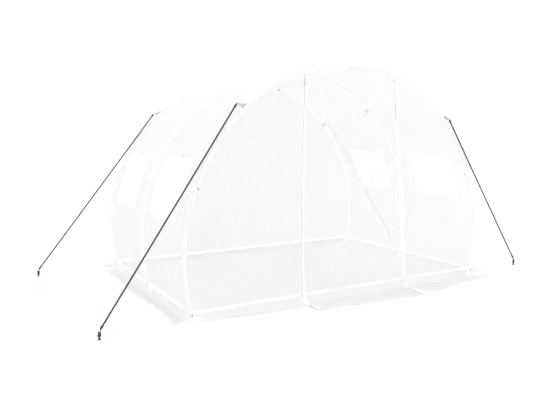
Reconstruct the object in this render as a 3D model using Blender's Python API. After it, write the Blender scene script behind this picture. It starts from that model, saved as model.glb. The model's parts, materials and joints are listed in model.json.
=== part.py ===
"""A plastic tunnel greenhouse: steel hoops, a film cover with a zipped door and four windows, and guy ropes.

The frame has its origin on the ground at the middle of the plan. +X runs along the front from left to right,
+Y from the front to the back, and +Z up. Lengths are metres and angles are radians.
"""
from math import asin, ceil, cos, floor, pi, radians, sin, tan

import bmesh
import bpy
from mathutils import Matrix, Vector

# Driving dimensions
HEIGHT = 2.000
FOOT_SPAN = 2.970
DEPTH = 2.030
BASE_BAR_HEIGHT = 0.072
TUBE_RADIUS = 0.0125
TUBE_WALL = 0.001
PURLIN_RADIUS = 0.0095
FILM = 0.0012
GAP = 0.0003

# The door between its two zips, as X at the base bars and at the door's top
DOOR_TOP = 1.850
LEFT_ZIP_X = (-0.507, -0.491)
RIGHT_ZIP_X = (0.620, 0.440)
DOOR_OPENS = 0.0012
SEAM_HALF_GAP = 0.0002

# The windows, one in each bay of each side
WINDOW_BOTTOM = 0.750
WINDOW_TOP = 1.200
WINDOW_WIDTH = 0.580
FLAP_MARGIN = 0.030
NET_MARGIN = 0.015
NET_THICKNESS = 0.0008

# The ground flaps along the foot of the cover, as their outer edges
SHEET_BOTTOM = 0.058
SIDE_SKIRT_X = 1.630
SIDE_SKIRT_INNER_Y = (-0.930, 0.990)
SIDE_SKIRT_OUTER_Y = (-1.030, 1.050)
END_SKIRT_Y = 1.355
LEFT_PANEL_SKIRT = ((-1.500, -1.048), (-0.560, -1.108))
DOOR_SKIRT = ((-0.490, -1.275), (0.473, -END_SKIRT_Y))
RIGHT_PANEL_SKIRT = ((0.726, -1.285), (1.420, -1.185), (1.580, -1.080))
BACK_SKIRT = ((1.560, END_SKIRT_Y), (-1.560, END_SKIRT_Y))
FLAP_FLOOR = 0.0002

# Joints of the frame
TUBE_SIDES = 12
CORNERS_PER_QUARTER = 18
LEG_CORNERS = 6
SPIGOT_LENGTH = 0.040
SPIGOT_SLACK = 0.0004
STUB_LENGTH = 0.050
FOOT_THICKNESS = 0.004
BRACE_ANGLES = {                    # at the upper end and at the lower one, in each bay
    "front": (radians(75.8), radians(51.0)),
    "back": (radians(75.8), radians(43.0)),
}
BRACE_TONGUE = (0.010, 0.0015)
BRACE_TONGUE_LENGTH = 0.018
BRACE_TONGUE_PAST_BOLT = 0.007
BRACE_ROUND_FROM = 0.055

# Zips and their sliders
ZIP_TAPE = 0.016
ZIP_TAPE_THICKNESS = 0.0008
ZIP_CHAIN_WIDTH = 0.004
ZIP_CHAIN_THICKNESS = 0.0022
SLIDER_HALF_WIDTH = 0.007
SLIDER_HEIGHT = 0.018
SLIDER_THICKNESS = 0.005
SLIDER_REST = 0.084
PULL_HALF_WIDTH = 0.004
PULL_LENGTH = 0.030
PULL_THICKNESS = 0.002

# Guy ropes, from a clip near each end hoop to a peg in the ground
ROPE_RADIUS = 0.0065
ROPE_SAG = 0.003
ROPE_STEP = 0.025
ROPE_START_GAP = 0.0008
ROPE_TOPS = {
    "front_left": (-1.082, -0.990, 1.631),
    "front_right": (1.054, -1.085, 1.530),
    "back_left": (-1.0853, 0.930, 1.597),
    "back_right": (1.155, 0.990, 1.536),
}
CLIP_BASE_ANGLES = {
    "front_left": radians(48.8),
    "front_right": radians(45.6),
    "back_left": radians(48.5),
    "back_right": radians(44.9),
}
FACE_CLIP = "front_right"
CLIP_SADDLE_SPAN = radians(1.8)
CLIP_SADDLE_WIDTH = 0.024
CLIP_SADDLE_THICKNESS = 0.004
CLIP_FIN_SPAN = radians(1.3)
CLIP_FIN_THICKNESS = 0.014
CLIP_TIP_HALF_WIDTH = 0.008
FACE_PLATE_HALF_WIDTH = 0.011
POST_THICKNESS = 0.012
POST_GAP = 0.0018
PEG_PLACES = {
    "front_left": (-2.178, -1.046),
    "front_right": (2.248, -0.937),
    "back_left": (-2.254, 1.077),
    "back_right": (2.222, 1.040),
}
PEG_RADIUS = 0.0075
PEG_FLANGE_RADIUS = 0.0105
PEG_FLANGE_HEIGHT = 0.005
PEG_STEM = 0.044
PEG_BEND_RADIUS = 0.012
PEG_BEND = radians(60)
PEG_BEND_STEPS = 5
ROPE_END_HEIGHT = 0.070
ROPE_END_REACH = 0.008

# Worked out from the above
CROWN_HEIGHT = HEIGHT - FILM - GAP - TUBE_RADIUS
HALF_SPAN = FOOT_SPAN / 2
RISE = CROWN_HEIGHT - BASE_BAR_HEIGHT
HOOP_CENTRE_Z = (CROWN_HEIGHT + BASE_BAR_HEIGHT - HALF_SPAN ** 2 / RISE) / 2
HOOP_RADIUS = CROWN_HEIGHT - HOOP_CENTRE_Z
FOOT_ANGLE = asin((BASE_BAR_HEIGHT - HOOP_CENTRE_Z) / HOOP_RADIUS)
CORNER_STEP = (pi / 2 - FOOT_ANGLE) / CORNERS_PER_QUARTER
FILM_INSIDE = TUBE_RADIUS + GAP
FILM_OUTSIDE = FILM_INSIDE + FILM
TUNNEL_END = DEPTH / 2 + TUBE_RADIUS
WALL_PLANE = TUNNEL_END + GAP
WALL_FACE = WALL_PLANE + FILM
ROOF_CORNER = 9
HOOPS = {"front": -DEPTH / 2, "middle": 0.0, "back": DEPTH / 2}
BAYS = {"front": -DEPTH / 4, "back": DEPTH / 4}
SIDES = {"left": -1, "right": 1}


def material(name, colour, roughness, metallic=0.0, alpha=1.0):
    """A Principled material of one plain colour."""
    made = bpy.data.materials.new(name)
    made.use_nodes = True
    shader = made.node_tree.nodes["Principled BSDF"]
    shader.inputs["Base Color"].default_value = (*colour, 1.0)
    shader.inputs["Roughness"].default_value = roughness
    shader.inputs["Metallic"].default_value = metallic
    shader.inputs["Alpha"].default_value = alpha
    return made


def place(name, mesh, finish, origin=(0.0, 0.0, 0.0)):
    """Links a mesh given in world coordinates as an object whose own origin is the given point."""
    mesh.transform(Matrix.Translation(-Vector(origin)))
    mesh.materials.append(finish)
    made = bpy.data.objects.new(name, mesh)
    made.location = origin
    bpy.context.collection.objects.link(made)
    return made


def mesh_of(name, points, faces):
    """A mesh of the points and faces, with its faces turned outwards."""
    mesh = bpy.data.meshes.new(name)
    mesh.from_pydata([tuple(point) for point in points], [], faces)
    work = bmesh.new()
    work.from_mesh(mesh)
    bmesh.ops.recalc_face_normals(work, faces=work.faces)
    work.to_mesh(mesh)
    work.free()
    return mesh


def smooth(mesh):
    """Shades the round sides smooth and keeps the ends sharp."""
    mesh.shade_smooth()
    mesh.set_sharp_from_angle(angle=radians(40))


def corner_angle(corner):
    """The hoops are many-sided: the angle of one of their corners, counted up from the right foot."""
    return FOOT_ANGLE + corner * CORNER_STEP


def hoop_point(angle, offset=0.0, side=1):
    """X and Z of the point at this angle on the hoops' many-sided arc, moved out from it by the offset."""
    side_number = floor((angle - FOOT_ANGLE) / CORNER_STEP + 1e-9)
    middle = corner_angle(side_number + 0.5)
    reach = (HOOP_RADIUS + offset) * cos(CORNER_STEP / 2) / cos(angle - middle)
    return side * reach * cos(angle), HOOP_CENTRE_Z + reach * sin(angle)


def angle_at_height(height, offset=0.0):
    """The angle, from below the foot to the crown, where the offset arc reaches the height."""
    low, high = radians(-20), pi / 2
    for _ in range(50):
        middle = (low + high) / 2
        if hoop_point(middle, offset)[1] < height:
            low = middle
        else:
            high = middle
    return (low + high) / 2


def ring(centre, across, upward, half_width, half_height, sides=TUBE_SIDES):
    """The points of an ellipse about the centre in the plane of the two directions."""
    turns = [2 * pi * step / sides for step in range(sides)]
    return [centre + across * (half_width * cos(turn)) + upward * (half_height * sin(turn)) for turn in turns]


def skin(rings, joined=False):
    """Points and faces that join each ring to the next; the last joins the first, or both ends are filled."""
    sides = len(rings[0])
    points = [point for one in rings for point in one]
    faces = []
    pairs = [(number, number + 1) for number in range(len(rings) - 1)]
    if joined:
        pairs.append((len(rings) - 1, 0))
    for first, second in pairs:
        for step in range(sides):
            after = (step + 1) % sides
            faces.append((first * sides + step, first * sides + after, second * sides + after, second * sides + step))
    if not joined:
        faces.append(tuple(range(sides)))
        faces.append(tuple(range(len(points) - sides, len(points))))
    return points, faces


def hoop_frame(angle, y, side):
    """The centre of a hoop tube at the angle, and its outward direction."""
    x, z = hoop_point(angle, 0.0, side)
    return Vector((x, y, z)), Vector((side * cos(angle), 0.0, sin(angle)))


def spigot_rings(angle, y, side, past, radius):
    """Rings of the reduced end that enters the next tube, which runs on along that tube's first straight side."""
    centre, outward = hoop_frame(angle, y, side)
    ahead = hoop_frame(angle + past * CORNER_STEP, y, side)[0] - centre
    ahead.normalize()
    tip = centre + ahead * SPIGOT_LENGTH
    across = Vector((0.0, 1.0, 0.0))
    return ring(centre, across, outward, radius, radius), ring(tip, across, outward, radius, radius)


def hoop_tube(name, y, side, first_corner, last_corner, finish, spigot, foot):
    """One hollow tube of a hoop from one corner to another, with a reduced end or a closed foot where asked."""
    across = Vector((0.0, 1.0, 0.0))
    bore = TUBE_RADIUS - TUBE_WALL
    angles = [corner_angle(corner) for corner in range(first_corner, last_corner + 1)]
    if not foot:
        angles[0] += GAP / HOOP_RADIUS
    frames = [hoop_frame(angle, y, side) for angle in angles]
    outer = [ring(centre, across, outward, TUBE_RADIUS, TUBE_RADIUS) for centre, outward in frames]
    inner = [ring(centre, across, outward, bore, bore) for centre, outward in frames]
    if foot:
        down = frames[0][0] - hoop_frame(corner_angle(first_corner - 1), y, side)[0]
        outer.insert(0, [point - down * (point.z / down.z) for point in outer[0]])
        inner.insert(0, [point - down * ((point.z - FOOT_THICKNESS) / down.z) for point in inner[0]])
    rings = list(outer)
    if spigot:
        slim = bore - SPIGOT_SLACK
        rings += spigot_rings(angles[-1], y, side, 1, slim)
        rings += reversed(spigot_rings(angles[-1], y, side, 1, slim - TUBE_WALL))
        inner.pop()
    rings += reversed(inner)
    mesh = mesh_of(name, *skin(rings, joined=not foot))
    smooth(mesh)
    return place(name, mesh, finish)


def straight_tube(name, start, end, radius, finish):
    """A hollow tube with open ends."""
    start, end = Vector(start), Vector(end)
    along = (end - start).normalized()
    upward = Vector((0.0, 0.0, 1.0))
    across = along.cross(upward)
    bore = radius - TUBE_WALL
    rings = [ring(centre, across, upward, size, size)
             for centre, size in ((start, radius), (end, radius), (end, bore), (start, bore))]
    mesh = mesh_of(name, *skin(rings, joined=True))
    smooth(mesh)
    return place(name, mesh, finish)


def guide(mesh):
    """An object that only shapes another: drawn as wire and left out of renders."""
    made = bpy.data.objects.new(mesh.name, mesh)
    made.hide_render = True
    made.display_type = "WIRE"
    bpy.context.collection.objects.link(made)
    return made


def combine(target, tool, operation):
    """Unites the target with the tool, or cuts the tool out of it."""
    step = target.modifiers.new(tool.name, "BOOLEAN")
    step.operation = operation
    step.solver = "EXACT"
    step.object = tool


def add_stub(leg, foot, direction):
    """Unites a welded stub with a leg, for a base bar to slip over."""
    along = Vector(direction)
    upward = Vector((0.0, 0.0, 1.0))
    across = along.cross(upward)
    radius = TUBE_RADIUS - TUBE_WALL - SPIGOT_SLACK
    ends = (foot - along * 0.002, foot + along * STUB_LENGTH)
    rings = [ring(centre, across, upward, radius, radius) for centre in ends]
    combine(leg, guide(mesh_of(f"{leg.name}_stub", *skin(rings))), "UNION")


def build_hoops(finish):
    """Three hoops, each of two legs with a closed foot and two bows that meet at the crown."""
    for hoop, y in HOOPS.items():
        for label, side in SIDES.items():
            leg = hoop_tube(f"{hoop}_hoop_{label}_leg", y, side, 0, LEG_CORNERS, finish, spigot=True, foot=True)
            foot = hoop_frame(FOOT_ANGLE, y, side)[0]
            if hoop == "middle":
                add_stub(leg, foot, (0.0, -1.0, 0.0))
                add_stub(leg, foot, (0.0, 1.0, 0.0))
            else:
                add_stub(leg, foot, (-side, 0.0, 0.0))
                add_stub(leg, foot, (0.0, 1.0 if hoop == "front" else -1.0, 0.0))
            hoop_tube(f"{hoop}_hoop_{label}_bow", y, side, LEG_CORNERS, CORNERS_PER_QUARTER, finish,
                      spigot=side > 0, foot=False)


def build_base_bars(finish):
    """Straight tubes along the ground between the feet, slipped over the legs' stubs."""
    lean = CORNER_STEP / 2 - FOOT_ANGLE
    across_end = HALF_SPAN - TUBE_RADIUS / cos(lean) - TUBE_RADIUS * tan(lean) - GAP
    for end in ("front", "back"):
        y = HOOPS[end]
        straight_tube(f"{end}_base_bar", (-across_end, y, BASE_BAR_HEIGHT), (across_end, y, BASE_BAR_HEIGHT),
                      TUBE_RADIUS, finish)
    for label, side in SIDES.items():
        for bay, middle in BAYS.items():
            half = DEPTH / 4 - TUBE_RADIUS - GAP
            ends = [(side * HALF_SPAN, middle + turn * half, BASE_BAR_HEIGHT) for turn in (-1, 1)]
            straight_tube(f"{label}_{bay}_base_bar", *ends, TUBE_RADIUS, finish)


def build_purlins(finish):
    """Straight tubes from the front to the back inside the hoops: one at the crown and one on each side."""
    inward = -(TUBE_RADIUS + GAP + PURLIN_RADIUS)
    for name, corner, side in (("ridge_purlin", CORNERS_PER_QUARTER, 1), ("left_purlin", LEG_CORNERS, -1),
                               ("right_purlin", LEG_CORNERS, 1)):
        x, z = hoop_point(corner_angle(corner), inward, side)
        straight_tube(name, (x, -TUNNEL_END, z), (x, TUNNEL_END, z), PURLIN_RADIUS, finish)


def brace_end(angle, y, side, towards):
    """The middle of a brace's flattened end, its direction along the hoop's inside and the way out from there."""
    inward = -(TUBE_RADIUS + GAP + BRACE_TONGUE[1])
    factor = hoop_point(angle, inward, side)
    outward = Vector((side * cos(angle), 0.0, sin(angle)))
    middle = Vector((factor[0], y, factor[1]))
    along = towards - outward * towards.dot(outward)
    return middle, along.normalized(), outward


def build_braces(finish):
    """Slanting tubes in each bay of the roof, with flattened ends bolted to the inside of the hoops."""
    reach = DEPTH / 2
    for label, side in SIDES.items():
        for bay, middle in BAYS.items():
            ends = []
            for angle, turn in zip(BRACE_ANGLES[bay], (-1, 1)):
                x, z = hoop_point(angle, 0.0, side)
                ends.append(Vector((x, middle + turn * reach / 2, z)))
            towards = (ends[1] - ends[0]).normalized()
            high, high_along, high_out = brace_end(BRACE_ANGLES[bay][0], ends[0].y, side, towards)
            low, low_along, low_out = brace_end(BRACE_ANGLES[bay][1], ends[1].y, side, towards)
            span = (low - high).normalized()
            stations = [
                (high - high_along * BRACE_TONGUE_PAST_BOLT, high_out, BRACE_TONGUE),
                (high + high_along * BRACE_TONGUE_LENGTH, high_out, BRACE_TONGUE),
                (high + span * BRACE_ROUND_FROM, high_out, (PURLIN_RADIUS, PURLIN_RADIUS)),
                (low - span * BRACE_ROUND_FROM, low_out, (PURLIN_RADIUS, PURLIN_RADIUS)),
                (low - low_along * BRACE_TONGUE_LENGTH, low_out, BRACE_TONGUE),
                (low + low_along * BRACE_TONGUE_PAST_BOLT, low_out, BRACE_TONGUE),
            ]
            rings = [ring(centre, span.cross(outward).normalized(), outward, *size)
                     for centre, outward, size in stations]
            mesh = mesh_of(f"{label}_{bay}_brace", *skin(rings))
            smooth(mesh)
            place(f"{label}_{bay}_brace", mesh, finish)


def sheet(name, points, faces, outward, finish, thickness=FILM, origin=(0.0, 0.0, 0.0)):
    """A film of even thickness that grows outwards from the given inner surface."""
    mesh = bpy.data.meshes.new(name)
    mesh.from_pydata([tuple(point) for point in points], [], faces)
    if mesh.polygons[0].normal.dot(Vector(outward)) < 0:
        mesh.flip_normals()
    made = place(name, mesh, finish, origin)
    thicken = made.modifiers.new("thickness", "SOLIDIFY")
    thicken.thickness = thickness
    thicken.offset = 1.0
    thicken.use_even_offset = True
    thicken.use_rim = True
    return made


def curved_grid(angles, ys, offset, side, holes=()):
    """Points and faces of a surface on the hoops' arc, with the cells inside the holes left out."""
    points = []
    for angle in angles:
        x, z = hoop_point(angle, offset, side)
        points += [Vector((x, y, z)) for y in ys]
    faces = []
    for row in range(len(angles) - 1):
        for column in range(len(ys) - 1):
            angle_middle = (angles[row] + angles[row + 1]) / 2
            y_middle = (ys[column] + ys[column + 1]) / 2
            inside = [low < angle_middle < high and near < y_middle < far for low, high, near, far in holes]
            if not any(inside):
                start = row * len(ys) + column
                faces.append((start, start + 1, start + len(ys) + 1, start + len(ys)))
    return points, faces


def angles_between(low, high):
    """The two angles and every corner of the hoops between them."""
    corners = [corner_angle(corner) for corner in range(2 * CORNERS_PER_QUARTER + 1)]
    return [low] + [angle for angle in corners if low + 1e-6 < angle < high - 1e-6] + [high]


def build_tunnel(film, net):
    """The two side walls with their window openings, the roof between them, and the nets behind the openings."""
    low = angle_at_height(WINDOW_BOTTOM, FILM_INSIDE)
    high = angle_at_height(WINDOW_TOP, FILM_INSIDE)
    bottom = angle_at_height(SHEET_BOTTOM, FILM_INSIDE)
    top = corner_angle(ROOF_CORNER)
    half = WINDOW_WIDTH / 2
    angles = sorted(angles_between(bottom, top - GAP / HOOP_RADIUS) + [low, high])
    ys = [-TUNNEL_END, TUNNEL_END] + [middle + turn * half for middle in BAYS.values() for turn in (-1, 1)]
    holes = [(low, high, middle - half, middle + half) for middle in BAYS.values()]
    for label, side in SIDES.items():
        sheet(f"cover_{label}_wall", *curved_grid(angles, sorted(ys), FILM_INSIDE, side, holes),
              (side, 0.0, 0.0), film)
        for bay, middle in BAYS.items():
            margin = NET_MARGIN / HOOP_RADIUS
            net_ys = (middle - half - NET_MARGIN, middle + half + NET_MARGIN)
            grid = curved_grid(angles_between(low - margin, high + margin), net_ys,
                               FILM_INSIDE - GAP - NET_THICKNESS, side)
            sheet(f"{label}_{bay}_window_net", *grid, (side, 0.0, 0.0), net, NET_THICKNESS)
    roof = angles_between(top, pi - top)
    sheet("cover_roof", *curved_grid(roof, (-TUNNEL_END, TUNNEL_END), FILM_INSIDE, 1), (1.0, 0.0, 0.5), film)


def build_window_flaps(film):
    """A flap over each window, on the outside of the wall, hinged along its top edge."""
    offset = FILM_OUTSIDE + GAP
    low = angle_at_height(WINDOW_BOTTOM - FLAP_MARGIN, offset)
    high = angle_at_height(WINDOW_TOP + FLAP_MARGIN / 2, offset)
    half = WINDOW_WIDTH / 2 + FLAP_MARGIN
    for label, side in SIDES.items():
        for bay, middle in BAYS.items():
            x, z = hoop_point(high, offset, side)
            grid = curved_grid(angles_between(low, high), (middle - half, middle + half), offset, side)
            sheet(f"{label}_{bay}_window_flap", *grid, (side, 0.0, 0.0), film, origin=(x, middle, z))


def zip_x(ends, height):
    """X of a zip's line at a height, which is straight from the base bars to the door's top."""
    share = (height - BASE_BAR_HEIGHT) / (DOOR_TOP - BASE_BAR_HEIGHT)
    return ends[0] + (ends[1] - ends[0]) * share


def hoop_meets_zip(ends, side):
    """The angle where the cover's outer arc meets a zip's line carried on above the door."""
    low, high = radians(50), pi / 2
    for _ in range(50):
        middle = (low + high) / 2
        x, z = hoop_point(middle, FILM_OUTSIDE, side)
        if side * (x - zip_x(ends, z)) > 0:
            low = middle
        else:
            high = middle
    return (low + high) / 2


def outline_corners(side, low, high):
    """The points of the cover's outer arc from one angle to another."""
    return [hoop_point(angle, FILM_OUTSIDE, side) for angle in angles_between(low, high)]


def end_panel(name, outline, y, finish, foot=(), skirt=()):
    """A flat film across the end of the tunnel, whose foot edge may run on into a flap along the ground.

    The outline is X and Z pairs, foot is the first and last places of its foot edge, and skirt is X and Y pairs
    of the flap's outer edge, from beside the last place of the foot to beside the first.
    """
    points = [Vector((x, y, z)) for x, z in outline]
    faces = [tuple(range(len(outline)))]
    if skirt:
        faces.append((foot[0], foot[1]) + tuple(range(len(points), len(points) + len(skirt))))
        points += [Vector((x, skirt_y, FLAP_FLOOR)) for x, skirt_y in skirt]
    return sheet(name, points, faces, (0.0, y, 0.0), finish)


def build_end_walls(film):
    """The back wall in one piece, and the front wall as two side panels and a top panel about the door."""
    bottom = angle_at_height(SHEET_BOTTOM, FILM_OUTSIDE)
    left_top, right_top = hoop_meets_zip(LEFT_ZIP_X, -1), hoop_meets_zip(RIGHT_ZIP_X, 1)

    left = outline_corners(-1, bottom, left_top)
    left[-1] = (left[-1][0] - SEAM_HALF_GAP, left[-1][1])
    left.append((zip_x(LEFT_ZIP_X, SHEET_BOTTOM) - SEAM_HALF_GAP, SHEET_BOTTOM))
    end_panel("front_left_panel", left, -WALL_PLANE, film, (0, len(left) - 1), LEFT_PANEL_SKIRT[::-1])

    right = outline_corners(1, bottom, right_top)
    right[-1] = (right[-1][0] + SEAM_HALF_GAP, right[-1][1])
    right.append((zip_x(RIGHT_ZIP_X, SHEET_BOTTOM) + SEAM_HALF_GAP, SHEET_BOTTOM))
    end_panel("front_right_panel", right, -WALL_PLANE, film, (0, len(right) - 1), RIGHT_PANEL_SKIRT)

    above = DOOR_TOP + DOOR_OPENS
    top = outline_corners(1, right_top, pi / 2) + outline_corners(-1, left_top, pi / 2)[-2::-1]
    top[0] = (top[0][0] - SEAM_HALF_GAP, top[0][1])
    top[-1] = (top[-1][0] + SEAM_HALF_GAP, top[-1][1])
    top.append((zip_x(LEFT_ZIP_X, above) + SEAM_HALF_GAP, above))
    top.append((zip_x(RIGHT_ZIP_X, above) - SEAM_HALF_GAP, above))
    end_panel("front_top_panel", top, -WALL_PLANE, film)

    back = outline_corners(1, bottom, pi / 2) + outline_corners(-1, bottom, pi / 2)[-2::-1]
    end_panel("back_wall", back, WALL_PLANE, film, (0, len(back) - 1), BACK_SKIRT[::-1])


def build_door(film):
    """The door film between the zips with its ground flap, turning about its top edge."""
    below = DOOR_TOP - DOOR_OPENS
    outline = [
        (zip_x(LEFT_ZIP_X, SHEET_BOTTOM) + SEAM_HALF_GAP, SHEET_BOTTOM),
        (zip_x(LEFT_ZIP_X, below) + SEAM_HALF_GAP, below),
        (zip_x(RIGHT_ZIP_X, below) - SEAM_HALF_GAP, below),
        (zip_x(RIGHT_ZIP_X, SHEET_BOTTOM) - SEAM_HALF_GAP, SHEET_BOTTOM),
    ]
    door = end_panel("door_panel", outline, -WALL_PLANE, film, (0, 3), DOOR_SKIRT[::-1])
    hinge = Vector((0.0, -WALL_PLANE - FILM / 2, DOOR_TOP))
    door.data.transform(Matrix.Translation(-hinge))
    door.location = hinge


def build_side_skirts(film):
    """The flaps along the ground at the sides, just under the walls' lower edges."""
    start = SHEET_BOTTOM - 0.0016
    angle = angle_at_height(start, FILM_INSIDE)
    for label, side in SIDES.items():
        x, z = hoop_point(angle, FILM_INSIDE, side)
        points = [Vector((x, y, z)) for y in SIDE_SKIRT_INNER_Y]
        points += [Vector((side * SIDE_SKIRT_X, y, FLAP_FLOOR)) for y in SIDE_SKIRT_OUTER_Y[::-1]]
        sheet(f"{label}_skirt", points, [(0, 1, 2, 3)], (0.0, 0.0, 1.0), film)


def prism(name, section, start, end):
    """A closed solid of one section, given as points at its start, carried straight to its end."""
    shift = Vector(end) - Vector(start)
    return mesh_of(name, *skin([section, [point + shift for point in section]]))


def build_zips(tape, metal):
    """The fixed half of each zip, sewn along the side panels' edges, and the slider that runs up it."""
    back = -WALL_FACE - GAP
    for label, ends, side in (("left", LEFT_ZIP_X, 1), ("right", RIGHT_ZIP_X, -1)):
        heights = (SHEET_BOTTOM + 0.004, DOOR_TOP)
        start, end = [Vector((zip_x(ends, z), 0.0, z)) for z in heights]
        chain = back - ZIP_CHAIN_THICKNESS
        tape_front = back - ZIP_TAPE_THICKNESS
        corners = ((ZIP_TAPE, back), (SEAM_HALF_GAP, back), (SEAM_HALF_GAP, chain), (ZIP_CHAIN_WIDTH, chain),
                   (ZIP_CHAIN_WIDTH, tape_front), (ZIP_TAPE, tape_front))
        section = [Vector((start.x - side * away, y, start.z)) for away, y in corners]
        place(f"{label}_zip", prism(f"{label}_zip", section, start, end), tape)

        climb = (end - start).normalized()
        across = Vector((climb.z, 0.0, -climb.x))
        middle = Vector((zip_x(ends, SLIDER_REST), chain - GAP, SLIDER_REST))
        parts = ((SLIDER_HALF_WIDTH, 0.0, SLIDER_HEIGHT, SLIDER_THICKNESS),
                 (PULL_HALF_WIDTH, SLIDER_HEIGHT * 0.6 - PULL_LENGTH, SLIDER_HEIGHT * 0.7, PULL_THICKNESS))
        solids = []
        for half_width, low, high, thickness in parts:
            front = middle + Vector((0.0, -SLIDER_THICKNESS * 0.4 if solids else 0.0, 0.0))
            depth = Vector((0.0, -thickness - (SLIDER_THICKNESS * 0.7 if solids else 0.0), 0.0))
            corners = [front + across * (turn * half_width) + climb * height
                       for turn, height in ((-1, low), (1, low), (1, high), (-1, high))]
            solids.append(prism(f"{label}_zip_slider", corners, (0.0, 0.0, 0.0), depth))
        slider = place(f"{label}_zip_slider", solids[0], metal, middle)
        combine(slider, guide(solids[1]), "UNION")


def rope_foot(corner, side):
    """The point at the middle of a rope where it meets its peg."""
    x, y = PEG_PLACES[corner]
    return Vector((x - side * ROPE_END_REACH, y, ROPE_END_HEIGHT))


def rope_points(top, foot):
    """The rope's route: nearly straight, with a few millimetres of sag, in short even steps."""
    steps = ceil((foot - top).length / ROPE_STEP)
    shares = [step / steps for step in range(steps + 1)]
    return [top.lerp(foot, share) - Vector((0.0, 0.0, 4 * ROPE_SAG * share * (1 - share))) for share in shares]


def build_rope(name, points, finish):
    """A round rope as a bevelled curve with filled ends."""
    data = bpy.data.curves.new(name, "CURVE")
    data.dimensions = "3D"
    data.bevel_depth = ROPE_RADIUS
    data.bevel_resolution = 2
    data.use_fill_caps = True
    spline = data.splines.new("POLY")
    spline.points.add(len(points) - 1)
    for made, point in zip(spline.points, points):
        made.co = (*point, 1.0)
    data.materials.append(finish)
    bpy.context.collection.objects.link(bpy.data.objects.new(name, data))


def build_clip(name, corner, side, top, rope_along, finish):
    """A clip on the roof: a thin saddle along the film and an upright fin whose tip holds the rope."""
    base = CLIP_BASE_ANGLES[corner]
    under = FILM_OUTSIDE + GAP
    turns = angles_between(base - CLIP_SADDLE_SPAN / 2, base + CLIP_SADDLE_SPAN / 2)
    outline = [hoop_point(turn, under, side) for turn in turns]
    outline += [hoop_point(turn, under + CLIP_SADDLE_THICKNESS, side) for turn in reversed(turns)]
    near, far = top.y - CLIP_SADDLE_WIDTH / 2, top.y + CLIP_SADDLE_WIDTH / 2
    saddle = [Vector((x, near, z)) for x, z in outline]
    clip = place(name, prism(name, saddle, (0.0, near, 0.0), (0.0, far, 0.0)), finish)

    turns = angles_between(base - CLIP_FIN_SPAN / 2, base + CLIP_FIN_SPAN / 2)
    outline = [hoop_point(turn, under + CLIP_SADDLE_THICKNESS / 2, side) for turn in turns]
    tip = top - rope_along * ROPE_START_GAP
    up = Vector((rope_along.z, 0.0, -rope_along.x)).normalized() * (-side * CLIP_TIP_HALF_WIDTH)
    outline += [((tip + up).x, (tip + up).z), ((tip - up).x, (tip - up).z)]
    near, far = top.y - CLIP_FIN_THICKNESS / 2, top.y + CLIP_FIN_THICKNESS / 2
    fin = [Vector((x, near, z)) for x, z in outline]
    combine(clip, guide(prism(f"{name}_fin", fin, (0.0, near, 0.0), (0.0, far, 0.0))), "UNION")


def build_face_clip(name, corner, side, top, rope_along, finish):
    """A clip on the front film over the hoop: a thin plate and a post that stands out to hold the rope clear."""
    base = CLIP_BASE_ANGLES[corner]
    turns = angles_between(base - CLIP_SADDLE_SPAN / 2, base + CLIP_SADDLE_SPAN / 2)
    outline = [hoop_point(turn, -FACE_PLATE_HALF_WIDTH, side) for turn in turns]
    outline += [hoop_point(turn, FACE_PLATE_HALF_WIDTH, side) for turn in reversed(turns)]
    near = -WALL_FACE - GAP
    far = near - CLIP_SADDLE_THICKNESS
    plate = [Vector((x, near, z)) for x, z in outline]
    clip = place(name, prism(name, plate, (0.0, near, 0.0), (0.0, far, 0.0)), finish)

    along = Vector((rope_along.x, 0.0, rope_along.z)).normalized()
    up = Vector((-along.z, 0.0, along.x))
    x, z = hoop_point(base, 0.0, side)
    foot = Vector((x, (near + far) / 2, z))
    tip = top - along * (POST_GAP + POST_THICKNESS / 2) - Vector((0.0, CLIP_FIN_THICKNESS / 2, 0.0))
    rings = [[centre + along * (POST_THICKNESS / 2 * one) + up * (CLIP_TIP_HALF_WIDTH * two)
              for one, two in ((-1, -1), (1, -1), (1, 1), (-1, 1))] for centre in (foot, tip)]
    combine(clip, guide(mesh_of(f"{name}_post", *skin(rings))), "UNION")


def build_peg(name, corner, side, finish):
    """A ground peg above the soil: a flange, a round stem and a head that bends away from the tunnel."""
    x, y = PEG_PLACES[corner]
    away = Vector((side, 0.0, 0.0))
    across = Vector((0.0, 1.0, 0.0))
    foot = Vector((x, y, 0.0))
    up = Vector((0.0, 0.0, 1.0))
    stations = [(0.0, PEG_FLANGE_RADIUS), (PEG_FLANGE_HEIGHT, PEG_FLANGE_RADIUS), (PEG_FLANGE_HEIGHT, PEG_RADIUS),
                (PEG_STEM, PEG_RADIUS)]
    rings = [ring(foot + up * height, across, away, radius, radius) for height, radius in stations]
    centre = foot + up * PEG_STEM + away * PEG_BEND_RADIUS
    for step in range(1, PEG_BEND_STEPS + 1):
        turn = PEG_BEND * step / PEG_BEND_STEPS
        out = away * cos(turn) - up * sin(turn)
        rings.append(ring(centre - out * PEG_BEND_RADIUS, across, out, PEG_RADIUS, PEG_RADIUS))
    mesh = mesh_of(name, *skin(rings))
    smooth(mesh)
    place(name, mesh, finish)


def build_guys(rope, clip, peg):
    """Four guy ropes, one at each corner, each with its clip and its peg."""
    for end_label in ("front", "back"):
        for label, side in SIDES.items():
            corner = f"{end_label}_{label}"
            top, foot = Vector(ROPE_TOPS[corner]), rope_foot(corner, side)
            build = build_face_clip if corner == FACE_CLIP else build_clip
            build(f"{corner}_rope_clip", corner, side, top, (foot - top).normalized(), clip)
            build_rope(f"{corner}_guy_rope", rope_points(top, foot), rope)
            build_peg(f"{corner}_peg", corner, side, peg)


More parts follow.
